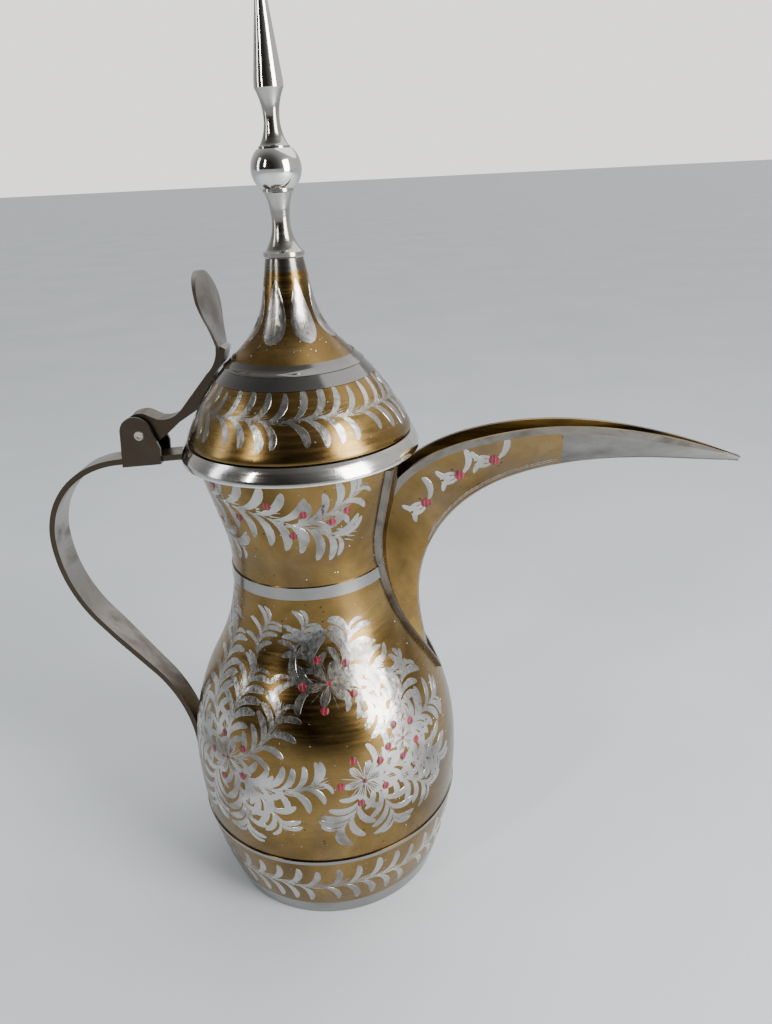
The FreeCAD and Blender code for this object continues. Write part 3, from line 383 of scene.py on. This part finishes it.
def red_enamel():
    """Glossy red enamel, hatched by the graver so that bright lines cross it."""
    finish = Finish("red_enamel", (0.30, 0.01, 0.04), 0.0, 0.34)
    lines = finish.tree.nodes.new("ShaderNodeTexWave")
    lines.inputs["Scale"].default_value = 300
    lines.inputs["Distortion"].default_value = 3.0
    finish.link(finish.stretched((0.8, 0.8, 1)), lines.inputs["Vector"])
    shade = finish.ramp(finish.noise(420, 3), (0.35, (0.07, 0.002, 0.008)), (0.65, (0.24, 0.006, 0.022)))
    hatch = finish.span(lines.outputs["Fac"], 0.82, 0.96, 0, 0.45)
    finish.colour(finish.mix(hatch, shade, (0.30, 0.17, 0.16)))
    finish.bump(lines.outputs["Fac"], 0.4, 0.0001)
    return finish.material


def graver_line():
    """The dark bottom of a fine cut."""
    finish = Finish("graver_line", (0.2, 0.17, 0.13), 0.9, 0.45)
    finish.colour(finish.ramp(finish.noise(500, 3), (0.35, (0.10, 0.08, 0.06)), (0.7, (0.36, 0.31, 0.24))))
    return finish.material


def raw_brass():
    """The unplated trough inside the beak: brown brass, scraped along its length."""
    finish = Finish("raw_brass", (0.45, 0.32, 0.13), 1.0, 0.3)
    scraped = finish.noise(120, 4, (0.12, 1, 1.6))
    stain = finish.noise(30, 4, warp=0.8)
    tone = finish.ramp(scraped, (0.32, (0.12, 0.085, 0.04)), (0.52, (0.42, 0.30, 0.11)),
                       (0.72, (0.80, 0.62, 0.25)))
    finish.colour(finish.mix(finish.span(stain, 0.45, 0.7, 0, 0.7), tone, (0.09, 0.065, 0.04)))
    finish.rough(finish.span(scraped, 0.3, 0.7, 0.24, 0.42))
    finish.bump(scraped, 0.35, 0.00012)
    return finish.material


def lacquer_end():
    """Where the beak's lacquer stops, in metres along the spout."""
    low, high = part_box("spout_left_cheek")
    return low[0] + LACQUER_SHARE * (high[0] - low[0])


def make_finishes():
    collar_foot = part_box("lid_neck")[1][2] - BARE_COLLAR
    return {
        "gold": gold_lacquer(),
        "cut": cut_silver(),
        "enamel": red_enamel(),
        "groove": graver_line(),
        "rim": bright_plate("polished_rim", (0.72, 0.71, 0.68), 0.07, 0.22),
        # Painted dark reflection: the lid band's plate is made far darker than the other plate, so that
        # its colour shows the dark room it reflects.
        "band": bright_plate("band_plate_painted_dark_reflection", (0.19, 0.186, 0.178), 0.08, 0.22),
        "plate": bright_plate("polished_plate", (0.30, 0.293, 0.28), 0.08, 0.22),
        "old_finial": bright_plate("tarnished_finial", (0.46, 0.44, 0.40), 0.07, 0.24),
        "finial": bright_plate("finial_plate", (0.76, 0.745, 0.72), 0.04, 0.14),
        "lid_neck_gold": gold_lacquer("lid_neck_lacquer", ("Z", collar_foot, 0.6 * MM)),
        "beak_panel": gold_lacquer("beak_panel_lacquer", ("X", lacquer_end(), 0.1 * MM)),
        "raw_brass": raw_brass(),
        "trim": worn_nickel("soldered_trim", (0.21, 0.19, 0.165), (0.07, 0.058, 0.043), 0.32),
        "handle": worn_nickel("handle_plate", (0.33, 0.305, 0.28), (0.13, 0.11, 0.09), 0.34,
                              (0.075, 0.058, 0.042)),
        "rivet": worn_nickel("hammered_rivet", (0.50, 0.45, 0.38), (0.20, 0.15, 0.10), 0.36),
        "inside": worn_nickel("tinned_inside", (0.55, 0.53, 0.50), (0.25, 0.22, 0.18), 0.45),
    }


# ------------------------------------------------------------ pieces carried over from the solids

def flat_object(name, mesh):
    """An object at the origin, with no turn or scale of its own."""
    item = bpy.data.objects.new(name, mesh)
    bpy.context.collection.objects.link(item)
    return item


def shaded_mesh(name, work, crease, material):
    """Makes a mesh in one material: smooth, with the edges sharper than the crease kept crisp."""
    limit = math.radians(crease)
    for face in work.faces:
        face.smooth = True
    for edge in work.edges:
        edge.smooth = edge.is_manifold and edge.calc_face_angle(0) < limit
    mesh = bpy.data.meshes.new(name)
    work.to_mesh(mesh)
    work.free()
    mesh.materials.clear()
    mesh.materials.append(material)
    for face in mesh.polygons:
        face.material_index = 0
    return mesh


def smooth_piece(node, body, material):
    """A merged and smoothly shaded copy of a solid, in place of its loose triangles."""
    work = bmesh.new()
    work.from_mesh(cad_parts[node].data)
    bmesh.ops.remove_doubles(work, verts=work.verts, dist=MERGE_DISTANCE)
    bmesh.ops.dissolve_degenerate(work, dist=SLIVER, edges=work.edges)
    name = node + "_skin"
    piece = flat_object(name, shaded_mesh(name, work, SKIN_CREASE, material))
    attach(piece, body)
    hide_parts(node)
    return piece


def line_the_trough(cheek, brass):
    """Gives the cheek's inner face, which looks across to the other cheek, its unplated brass."""
    cheek.data.materials.append(brass)
    side = 1 if sum(corner[1] for corner in cheek.bound_box) > 0 else -1
    for face in cheek.data.polygons:
        looks_in = face.normal.y * side < 0.15
        looks_down = face.normal.z < -0.3
        if looks_in and not looks_down:
            face.material_index = 1


def tin_the_inside(shell, tin):
    """Gives a turned wall's inner face, which looks at the axis, its tin."""
    shell.data.materials.append(tin)
    for face in shell.data.polygons:
        outward = Vector((face.center.x, face.center.y, 0)).normalized()
        if face.normal.dot(outward) < -0.05:
            face.material_index = 1


def carried_pieces(finishes):
    """Every node of the two bodies, with its outer finish."""
    pot = {"bowl": "gold", "neck": "gold", "waist_band": "plate", "base_plate": "inside",
           "foot_ring": "plate", "belly_ring": "plate", "mouth_ring": "rim",
           "spout_left_cheek": "beak_panel", "spout_right_cheek": "beak_panel", "spout_left_hem": "trim",
           "spout_right_hem": "trim", "spout_keel_strip": "trim", "spout_flange": "gold",
           "spout_bead": "trim", "handle_strap": "handle", "handle_foot_rivets": "rivet",
           "hinge_bracket": "handle", "bracket_rivets": "rivet", "hinge_pin": "rivet"}
    lid = {"lid_dome": "gold", "lid_band": "band", "lid_neck": "lid_neck_gold", "lid_sleeve": "inside",
           "lid_lever": "handle", "finial_lower_stem": "old_finial", "finial_ball": "finial",
           "finial_upper_stem": "old_finial", "finial_spire": "finial", "finial_rod": "inside",
           "finial_washer": "inside", "finial_nut": "inside"}
    for body, pieces in ((POT, pot), (LID, lid)):
        for node, finish in pieces.items():
            piece = smooth_piece(node, body, finishes[finish])
            if finish == "beak_panel":
                line_the_trough(piece, finishes["raw_brass"])
            elif "gold" in finish and node != "spout_flange":
                tin_the_inside(piece, finishes["inside"])


def lay_floor():
    """A plain pale table top."""
    finish = Finish("table_top", (0.66, 0.70, 0.75), 0.0, 0.55)
    finish.colour(finish.ramp(finish.noise(6, 4), (0.35, (0.62, 0.665, 0.715)),
                              (0.65, (0.67, 0.71, 0.755))))
    mesh = bpy.data.meshes.new("table_top")
    reach = 15.0
    mesh.from_pydata([(-reach, -reach, 0), (reach, -reach, 0), (reach, reach, 0), (-reach, reach, 0)],
                     [], [(0, 1, 2, 3)])
    mesh.materials.append(finish.material)
    floor = bpy.data.objects.new("table_top", mesh)
    floor.location.z = -0.0002
    bpy.context.collection.objects.link(floor)


# ------------------------------------------------------------ laying a figure on a wall

class Nodes:
    """A Geometry Nodes tree under construction."""

    def __init__(self, name, inputs):
        self.tree = bpy.data.node_groups.new(name, "GeometryNodeTree")
        sockets = self.tree.interface
        sockets.new_socket("Geometry", in_out="INPUT", socket_type="NodeSocketGeometry")
        self.keys = {label: sockets.new_socket(label, in_out="INPUT", socket_type=kind).identifier
                     for label, kind in inputs}
        sockets.new_socket("Geometry", in_out="OUTPUT", socket_type="NodeSocketGeometry")
        self.given = self.add("NodeGroupInput").outputs

    def add(self, kind, settings=None, **wires):
        node = self.tree.nodes.new(kind)
        for key, value in (settings or {}).items():
            setattr(node, key, value)
        for label, value in wires.items():
            socket = node.inputs[label.replace("_", " ")]
            if isinstance(value, bpy.types.NodeSocket):
                self.tree.links.new(value, socket)
            else:
                socket.default_value = value
        return node

    def field(self, name):
        return self.add("GeometryNodeInputNamedAttribute", {"data_type": "FLOAT"}, Name=name).outputs[0]

    def math(self, operation, *values):
        node = self.tree.nodes.new("ShaderNodeMath")
        node.operation = operation
        self.fill(node, values)
        return node.outputs[0]

    def vector(self, x, y, z):
        return self.add("ShaderNodeCombineXYZ", X=x, Y=y, Z=z).outputs[0]

    def vectors(self, operation, *values):
        node = self.tree.nodes.new("ShaderNodeVectorMath")
        node.operation = operation
        self.fill(node, values)
        return node.outputs[0]

    def scaled(self, vector, amount):
        return self.add("ShaderNodeVectorMath", {"operation": "SCALE"}, Vector=vector,
                        Scale=amount).outputs[0]

    def fill(self, node, values):
        for socket, value in zip(node.inputs, values):
            if isinstance(value, bpy.types.NodeSocket):
                self.tree.links.new(value, socket)
            else:
                socket.default_value = value


def figure_tree(name, turned):
    """Lays a flat figure on a wall at each point: round the pot's axis, or from one side of the spout.

    Each point carries where its figure starts (across, height), its turn and its reach. On a turned wall
    across is an angle and arm is the wall's radius there; lean is how steeply the wall climbs."""
    nodes = Nodes(name, [("Figure", "NodeSocketObject"), ("Wall", "NodeSocketObject"),
                         ("Bottom", "NodeSocketFloat"), ("Top", "NodeSocketFloat"),
                         ("Depth", "NodeSocketFloat"), ("Lift", "NodeSocketFloat"),
                         ("Finish", "NodeSocketMaterial")])
    given = nodes.given
    figure = nodes.add("GeometryNodeObjectInfo", Object=given["Figure"]).outputs["Geometry"]
    wall = nodes.add("GeometryNodeObjectInfo", Object=given["Wall"]).outputs["Geometry"]
    reach = nodes.field("reach")
    spread = nodes.add("GeometryNodeInstanceOnPoints", Points=given["Geometry"], Instance=figure,
                       Rotation=nodes.vector(0.0, 0.0, nodes.field("turn")),
                       Scale=nodes.vector(reach, reach, 1.0)).outputs[0]
    real = nodes.add("GeometryNodeRealizeInstances", Geometry=spread).outputs[0]
    flat = nodes.add("ShaderNodeSeparateXYZ", Vector=nodes.add("GeometryNodeInputPosition").outputs[0])
    climbed = nodes.math("ADD", nodes.field("height"),
                         nodes.math("MULTIPLY", flat.outputs["Y"], nodes.field("lean")))
    height = nodes.math("MINIMUM", nodes.math("MAXIMUM", climbed, given["Bottom"]), given["Top"])
    across = nodes.math("ADD", nodes.field("across"),
                        nodes.math("DIVIDE", flat.outputs["X"], nodes.field("arm")))
    if turned:
        outward = nodes.vector(nodes.math("COSINE", across), nodes.math("SINE", across), 0.0)
        middle = nodes.vector(0.0, 0.0, height)
    else:
        outward = nodes.vector(0.0, nodes.field("side"), 0.0)
        middle = nodes.vector(across, 0.0, height)
    source = nodes.vectors("ADD", nodes.scaled(outward, OUTSIDE), middle)
    meet = nodes.add("GeometryNodeRaycast", Target_Geometry=wall, Source_Position=source,
                     Ray_Direction=nodes.scaled(outward, -1.0), Ray_Length=OUTSIDE + 10 * MM)
    rise = nodes.math("MULTIPLY_ADD", flat.outputs["Z"], given["Lift"], given["Depth"])
    place = nodes.vectors("ADD", meet.outputs["Hit Position"],
                          nodes.scaled(meet.outputs["Hit Normal"], rise))
    laid = nodes.add("GeometryNodeSetPosition", Geometry=real, Position=place).outputs[0]
    dressed = nodes.add("GeometryNodeSetMaterial", Geometry=laid, Material=given["Finish"]).outputs[0]
    nodes.add("NodeGroupOutput", Geometry=dressed)
    return nodes


def closed_shape(name, work):
    """Turns the faces of a closed form outwards and makes an object of it."""
    bmesh.ops.recalc_face_normals(work, faces=work.faces)
    mesh = bpy.data.meshes.new(name)
    work.to_mesh(mesh)
    work.free()
    return flat_object(name, mesh)


def blade(name, half_width, curl, rows=9, columns=3):
    """A closed, thin comma shape of length 1: a fine tail at the start, a round head at the end.

    curl is how far it turns from tail to head, in radians."""
    tail = 0.004
    crowding = 1.4       # brings the rows closer together towards the head
    late = 1.6           # moves the widest place towards the head
    shares = [1 - (1 - row / (rows - 1)) ** crowding for row in range(rows)]
    top = []
    x = y = 0.0
    before = 0.0
    for share in shares:
        heading = curl * (share + before) / 2
        x += (share - before) * math.cos(heading)
        y += (share - before) * math.sin(heading)
        before = share
        width = half_width * max(math.sin(math.pi * share ** late), 0.0) ** 0.5 + tail
        aside = Vector((-math.sin(curl * share), math.cos(curl * share)))
        top.append([Vector((x, y)) + aside * width * (2 * column / (columns - 1) - 1)
                    for column in range(columns)])
    return closed_plate(name, top)


def closed_plate(name, rows):
    """A closed plate over a grid of flat points, from 0 below to 1 on top, drawn in a little on top."""
    work = bmesh.new()
    layers = []
    for level, drawn_in in ((0, 1.0), (1, 0.88)):
        layer = []
        for row in rows:
            middle = row[len(row) // 2]
            layer.append([work.verts.new((*(middle + (point - middle) * drawn_in), level))
                          for point in row])
        layers.append(layer)
    low, top = layers
    last = len(rows[0]) - 1
    for first in range(len(rows) - 1):
        for side in range(last):
            work.faces.new((top[first][side], top[first + 1][side],
                            top[first + 1][side + 1], top[first][side + 1]))
            work.faces.new((low[first][side], low[first][side + 1],
                            low[first + 1][side + 1], low[first + 1][side]))
        for edge in (0, last):
            work.faces.new((low[first][edge], low[first + 1][edge],
                            top[first + 1][edge], top[first][edge]))
    for end in (0, -1):
        for side in range(last):
            work.faces.new((low[end][side], low[end][side + 1], top[end][side + 1], top[end][side]))
    return closed_shape(name, work)


def button(name, sides, crown):
    """A closed round dot of width 1, crowned in the middle."""
    rim = 0.55
    work = bmesh.new()
    rings = []
    for radius, level in ((0.5, 0.0), (0.5, rim), (0.36, rim + 0.45 * crown)):
        rings.append([work.verts.new((radius * math.cos(2 * math.pi * turn / sides),
                                      radius * math.sin(2 * math.pi * turn / sides), level))
                      for turn in range(sides)])
    for lower, upper in zip(rings, rings[1:]):
        for turn in range(sides):
            after = (turn + 1) % sides
            work.faces.new((lower[turn], lower[after], upper[after], upper[turn]))
    peak = work.verts.new((0, 0, rim + 0.55 * crown))
    floor = work.verts.new((0, 0, 0))
    for turn in range(sides):
        after = (turn + 1) % sides
        work.faces.new((rings[-1][turn], rings[-1][after], peak))
        work.faces.new((rings[0][after], rings[0][turn], floor))
    return closed_shape(name, work)


# ------------------------------------------------------------ walls and the rules that fill them

def top_of(node):
    """The height in mm of a node's highest point."""
    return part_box(node)[1][2] / MM


def foot_of(node):
    """The height in mm of a node's lowest point."""
    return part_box(node)[0][2] / MM


class Wall:
    """A wall that figures are laid on: a turned body, or one side of the spout (side -1 or 1).

    zone is the lowest and highest height, in mm, between which shares of a turned wall run."""

    def __init__(self, node, side=0, zone=None):
        self.node = node
        self.side = side
        self.zone = zone
        margin = 1.2
        self.bottom = foot_of(node) + margin
        self.top = top_of(node) - margin
        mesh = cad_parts[node].data
        self.skin = BVHTree.FromPolygons([v.co.copy() for v in mesh.vertices],
                                         [tuple(f.vertices) for f in mesh.polygons])

    def level(self, share):
        """The height in mm at a share of the zone."""
        return self.zone[0] + share * (self.zone[1] - self.zone[0])

    def radius(self, height):
        """A turned wall's radius in mm at a height in mm, read on its front; past an end, the end's."""
        met_height = min(max(height, self.bottom), self.top)
        start = Vector((0, -OUTSIDE, met_height * MM))
        return -self.skin.ray_cast(start, Vector((0, 1, 0)))[0].y / MM

    def lean(self, height):
        """How far the wall climbs for each mm along its surface."""
        if self.side:
            return 1.0
        step = 0.8
        slope = self.radius(height + step / 2) - self.radius(height - step / 2)
        return step / math.hypot(slope, step)

    def lower_edge(self, along):
        """The lowest height in mm at which this side of the spout is met, at a place along it in mm."""
        height = self.bottom
        while height < self.top and not self.is_met(along, height):
            height += SEARCH_STEP
        return height

    def mid_height(self, along):
        """Half way up the cheek, in mm, at a place along it in mm."""
        bottom = self.lower_edge(along)
        height = bottom
        while height < self.top and self.is_met(along, height):
            height += SEARCH_STEP
        return (bottom + height) / 2

    def is_met(self, along, height):
        start = Vector((along * MM, OUTSIDE * self.side, height * MM))
        return self.skin.ray_cast(start, Vector((0, -self.side, 0)), OUTSIDE)[0] is not None

    def across(self, value):
        """Degrees round a turned wall, or mm along the spout, as the tree wants it."""
        return value * MM if self.side else math.radians(value)

    def to_mm(self, height):
        """How many mm one unit across is worth."""
        return 1.0 if self.side else math.radians(self.radius(height))


class Engraving:
    """All the figures of one body, gathered wall by wall and shape by shape."""

    def __init__(self, seed):
        self.places = {}
        self.chance = random.Random(seed)

    def put(self, wall, shape, across, height, turn, reach):
        """One figure on the front panel and its mirror image on the back one; on the beak, just one."""
        self.note(wall, shape, across, height, turn, reach)
        if not wall.side:
            self.note(wall, LEAF_TWIN.get(shape, shape), -across, height, 180 - turn, reach)

    def note(self, wall, shape, across, height, turn, reach):
        """One figure: where it starts, its turn in degrees and its reach in mm."""
        arm = 1.0 if wall.side else wall.radius(height) * MM
        self.places.setdefault((wall, shape), []).append(
            (wall.across(across), height * MM, math.radians(turn), reach * MM, arm,
             wall.lean(height), float(wall.side)))

    def spray_from(self, wall, across, height, direction, length, bow, pairs, leaf):
        """A spray that leaves a place in a direction in degrees, 0 to the right and 90 upwards."""
        aim = math.radians(direction)
        end = (across + length * math.cos(aim) / wall.to_mm(height),
               height + length * math.sin(aim) * wall.lean(height))
        self.spray(wall, (across, height), end, bow, pairs, leaf)

    def spray(self, wall, start, end, bow, pairs, leaf, opening=6, crown=True, berries=0):
        """A bowed stem of fine strands with curled leaves on each side at even steps.

        With a crown it ends in two more leaves. Berries sit evenly along it, on either side in turn."""
        middle = (start[1] + end[1]) / 2
        unit = wall.to_mm(middle)
        lean = wall.lean(middle)
        run = Vector(((end[0] - start[0]) * unit, (end[1] - start[1]) / lean))
        aside = Vector((-run.y, run.x)).normalized() * bow
        bend = run / 2 + aside * 2

        def on_stem(share):
            flat = 2 * share * (1 - share) * bend + share * share * run
            heading = 2 * (1 - 2 * share) * bend + 2 * share * run
            turn = math.degrees(math.atan2(heading.y, heading.x))
            return start[0] + flat.x / unit, start[1] + flat.y * lean, turn

        lengths = 4
        overlap = 1.5
        for number in range(lengths):
            across, height, turn = on_stem(number / lengths)
            for fan in (-8, -3, 2, 7):
                self.put(wall, "strand", across, height, turn + fan, run.length / lengths * overlap)
        for pair in range(pairs):
            for sign, shape in ((1, "leaf_left"), (-1, "leaf_right")):
                share = (pair + 0.55 + 0.18 * sign) / (pairs + 0.4)
                across, height, turn = on_stem(share)
                longest_in_the_middle = 0.72 + 0.45 * math.sin(math.pi * (0.15 + 0.7 * share))
                reach = leaf * longest_in_the_middle * self.chance.uniform(0.92, 1.08)
                self.put(wall, shape, across, height, turn + sign * opening, reach)
        for number in range(berries):
            across, height, turn = on_stem((number + 0.7) / (berries + 0.2))
            off = math.radians(turn + 90) + math.pi * (number % 2)
            reach = leaf * BERRY_OFF_STEM
            self.put(wall, "berry", across + reach * math.cos(off) / unit,
                     height + reach * math.sin(off) * lean, BERRY_TURN, BERRY_WIDTH)
        across, height, turn = on_stem(0.97)
        if crown:
            self.put(wall, "leaf_left", across, height, turn + 8, leaf * 0.85)
            self.put(wall, "leaf_right", across, height, turn - 8, leaf * 0.7)

    def edge_line(self, cheek, start, end, offset):
        """A fine line that keeps a little above the cheek's lower edge, made of short strokes."""
        step = 2.0
        overlap = 1.8
        count = int((end - start) / step)
        points = [Vector((start + step * number, cheek.lower_edge(start + step * number) + offset))
                  for number in range(count + 1)]
        for here, there in zip(points, points[1:]):
            run = there - here
            self.put(cheek, "strand", here.x, here.y, math.degrees(math.atan2(run.y, run.x)),
                     run.length * overlap)

    def flower(self, wall, across, height, petal):
        """A rosette of petals and strands, with strokes over them, a dot inside and berries round it."""
        petals = 6
        berries = 5
        lean_to = 10
        for number in range(berries):
            round_it = math.radians(lean_to + 30 + 360 * number / berries)
            reach = petal * BERRY_OFF_FLOWER
            self.put(wall, "berry", across + reach * math.cos(round_it) / wall.to_mm(height),
                     height + reach * math.sin(round_it) * wall.lean(height), BERRY_TURN, BERRY_WIDTH)
        for number in range(petals):
            turn = lean_to + 360 * number / petals
            self.put(wall, "petal", across, height, turn, petal)
            self.put(wall, "strand", across, height, turn + 180 / petals, petal * 1.15)
            for fan in (-9, 0, 9):
                self.put(wall, "stroke", across, height, turn + fan, petal * 0.8)
        self.put(wall, "berry", across, height, 0, petal * 0.26)

    def specks(self, wall, low, high, count):
        """Loose specks between two heights, anywhere on the front panel."""
        left = -172
        right = -8
        for _ in range(count):
            self.put(wall, "speck", self.chance.uniform(left, right), self.chance.uniform(low, high),
                     0, self.chance.uniform(0.35, 0.6))

    def lay(self, trees, shapes, materials):
        """Runs the trees and returns the finished meshes, listed by finish."""
        parts = {}
        for (wall, shape), rows in self.places.items():
            finish = "enamel" if shape == "berry" else "groove" if shape == "stroke" else "cut"
            points = bpy.data.meshes.new("figure_points")
            points.from_pydata([(0, 0, 0)] * len(rows), [], [])
            for column, name in enumerate(POINT_FIELDS):
                values = points.attributes.new(name, "FLOAT", "POINT")
                values.data.foreach_set("value", [row[column] for row in rows])
            spread = flat_object("figure_points", points)
            layer = spread.modifiers.new("figures", "NODES")
            nodes = trees[bool(wall.side)]
            layer.node_group = nodes.tree
            layer[nodes.keys["Figure"]] = shapes[shape]
            layer[nodes.keys["Wall"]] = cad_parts[wall.node]
            layer[nodes.keys["Bottom"]] = wall.bottom * MM
            layer[nodes.keys["Top"]] = wall.top * MM
            layer[nodes.keys["Depth"]] = -SUNK * MM
            layer[nodes.keys["Lift"]] = (STANDS[shape] + SUNK) * MM
            layer[nodes.keys["Finish"]] = materials[finish]
            spread.update_tag()
            graph = bpy.context.evaluated_depsgraph_get()
            parts.setdefault(finish, []).append(
                bpy.data.meshes.new_from_object(spread.evaluated_get(graph)))
            bpy.data.objects.remove(spread)
        return parts


def joined_piece(name, meshes, material, body):
    """All the figures of one body and one material as one piece."""
    work = bmesh.new()
    for mesh in meshes:
        work.from_mesh(mesh)
    joined = shaded_mesh(name, work, FIGURE_CREASE, material)
    for attribute in [a.name for a in joined.attributes if a.name in POINT_FIELDS]:
        joined.attributes.remove(joined.attributes[attribute])
    piece = flat_object(name, joined)
    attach(piece, body)


def engrave_neck(cut):
    """One big branch from the handle side towards the spout, a second under the mouth and two sprigs."""
    neck = Wall("neck", zone=(top_of("waist_band"), foot_of("mouth_ring")))
    level = neck.level
    # from (degrees round, height) to (degrees round, height), then bow, pairs of leaves and leaf
    cut.spray(neck, (-150, level(0.8)), (-60, level(0.45)), 3, 8, 15, berries=5)
    cut.spray(neck, (-95, level(0.6)), (-50, level(0.85)), -3, 4, 11, berries=2)
    cut.spray(neck, (-165, level(0.7)), (-130, level(0.35)), -2, 4, 11, berries=1)
    cut.spray(neck, (-172, level(0.4)), (-160, level(0.85)), 2, 2, 8)
    cut.specks(neck, level(0.05), level(1.0), 60)


def engrave_belly(cut):
    """Four flowers, each with sprays that leave it in their own directions, and sprigs under the waist."""
    bowl = Wall("bowl", zone=(top_of("belly_ring"), foot_of("waist_band")))
    flowers = (
        # degrees round, share of height, petal, then (direction, length, bow) of each spray
        (-75, 0.70, 8.5, ((-10, 26, 5), (-45, 24, 3), (60, 22, -2), (115, 18, 2), (170, 14, 2))),
        (-65, 0.35, 8, ((-10, 34, 4), (25, 32, 3), (-65, 24, 2), (-120, 22, 2), (-30, 32, 3))),
        (-125, 0.40, 8, ((110, 46, 6), (45, 32, -4), (-5, 38, -5), (-45, 32, 3), (-75, 30, 3),
                         (-110, 28, -3), (155, 32, 4), (195, 32, -3), (80, 34, 3))),
        (-45, 0.45, 6, ((60, 26, 3), (10, 24, 2), (-50, 26, 2), (100, 34, 2))))
    for across, share, petal, sprays in flowers:
        height = bowl.level(share)
        for direction, length, bow in sprays:
            pairs = round(length / 6)
            cut.spray_from(bowl, across, height, direction, length, bow, pairs, 12)
        cut.flower(bowl, across, height, petal)
    for across in (-155, -118, -92):
        cut.spray_from(bowl, across, bowl.level(0.76), 75, 16, 2, 3, 9)
    cut.specks(bowl, bowl.level(0.03), bowl.level(0.97), 190)


def running_branch(cut, wall, share, bow, pairs, leaf):
    """A branch that runs right round a wall at a share of its height, four lengths to each side."""
    height = wall.level(share)
    length = 44          # degrees
    for number in range(4):
        start = -178 + length * number
        cut.spray(wall, (start, height), (start + length, height), bow, pairs, leaf, 14, crown=False)
    cut.specks(wall, wall.level(0.1), wall.level(0.9), 50)


def engrave_frieze(cut):
    """A running branch between the foot and the belly ring."""
    running_branch(cut, Wall("bowl", zone=(top_of("foot_ring"), foot_of("belly_ring"))), 0.45, 1.2, 5, 12)


def engrave_lid(cut):
    """A running branch round the dome, and drops round the lid's neck, heads down."""
    running_branch(cut, Wall("lid_dome", zone=(top_of("mouth_ring"), foot_of("lid_band"))), 0.6, 1, 4, 12)
    neck = Wall("lid_neck", zone=(foot_of("lid_neck"), top_of("lid_neck")))
    drops = 7
    for number in range(drops):
        across = -55 + 360 * number / drops
        cut.note(neck, "drop", across, neck.level(0.82), -90, 21)
        for offset in (-5, 0, 5):
            cut.note(neck, "stroke", across + offset, neck.level(0.45), -90, 4)
    cut.specks(neck, neck.level(0.1), neck.level(0.25), 24)


def engrave_spout(cut):
    """Berries along the lacquered part of the beak, each in a fan of leaves, and two fine lines below."""
    berries = 3
    for side in (-1, 1):
        cheek = Wall(spout_cheek(side), side)
        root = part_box(cheek.node)[0][0] / MM
        panel = lacquer_end() / MM - root
        for number in range(berries):
            along = root + panel * (0.25 + 0.19 * number)
            height = cheek.mid_height(along)
            run = panel * 0.2
            climb = math.degrees(math.atan2(cheek.mid_height(along + run) - height, run))
            for fan, reach in ((120, 8), (155, 10), (190, 10), (225, 8), (8, 12)):
                shape = "leaf_left" if fan < 180 else "leaf_right"
                cut.put(cheek, shape, along, height, climb + fan, reach)
            cut.put(cheek, "berry", along, height, BERRY_TURN, BERRY_WIDTH * 1.3)
        for offset in (1.1, 1.9):
            cut.edge_line(cheek, root + panel * 0.25, root + panel * 0.98, offset)


def spout_cheek(side):
    """The cheek on that side of the middle, whichever of the two names it has."""
    low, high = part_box("spout_left_cheek")
    left_side = 1 if low[1] + high[1] > 0 else -1
    return "spout_left_cheek" if side == left_side else "spout_right_cheek"


def lay_figures(finishes):
    """Cuts both bodies' figures, each body with its own fixed run of chance."""
    trees = {False: figure_tree("lay_round_the_pot", True), True: figure_tree("lay_on_the_beak", False)}
    shapes = {"leaf_left": blade("leaf_left", 0.105, 1.7), "leaf_right": blade("leaf_right", 0.105, -1.7),
              "petal": blade("petal", 0.20, 0.0), "drop": blade("drop", 0.135, 0.0, 16, 9),
              "strand": blade("strand", 0.015, 0.12, 5), "stroke": blade("stroke", 0.035, 0.0, 4),
              "berry": button("berry", 14, 1.0), "speck": button("speck", 6, 0.6)}
    pot = Engraving(7)
    for engrave in (engrave_neck, engrave_belly, engrave_frieze, engrave_spout):
        engrave(pot)
    lid = Engraving(11)
    engrave_lid(lid)
    for body, cut in ((POT, pot), (LID, lid)):
        for finish, meshes in cut.lay(trees, shapes, finishes).items():
            joined_piece(body + "_" + FIGURE_NAMES[finish], meshes, finishes[finish], body)
    for shape in shapes.values():
        bpy.data.objects.remove(shape)


place_camera()
light_studio()
lay_floor()
finishes = make_finishes()
carried_pieces(finishes)
lay_figures(finishes)
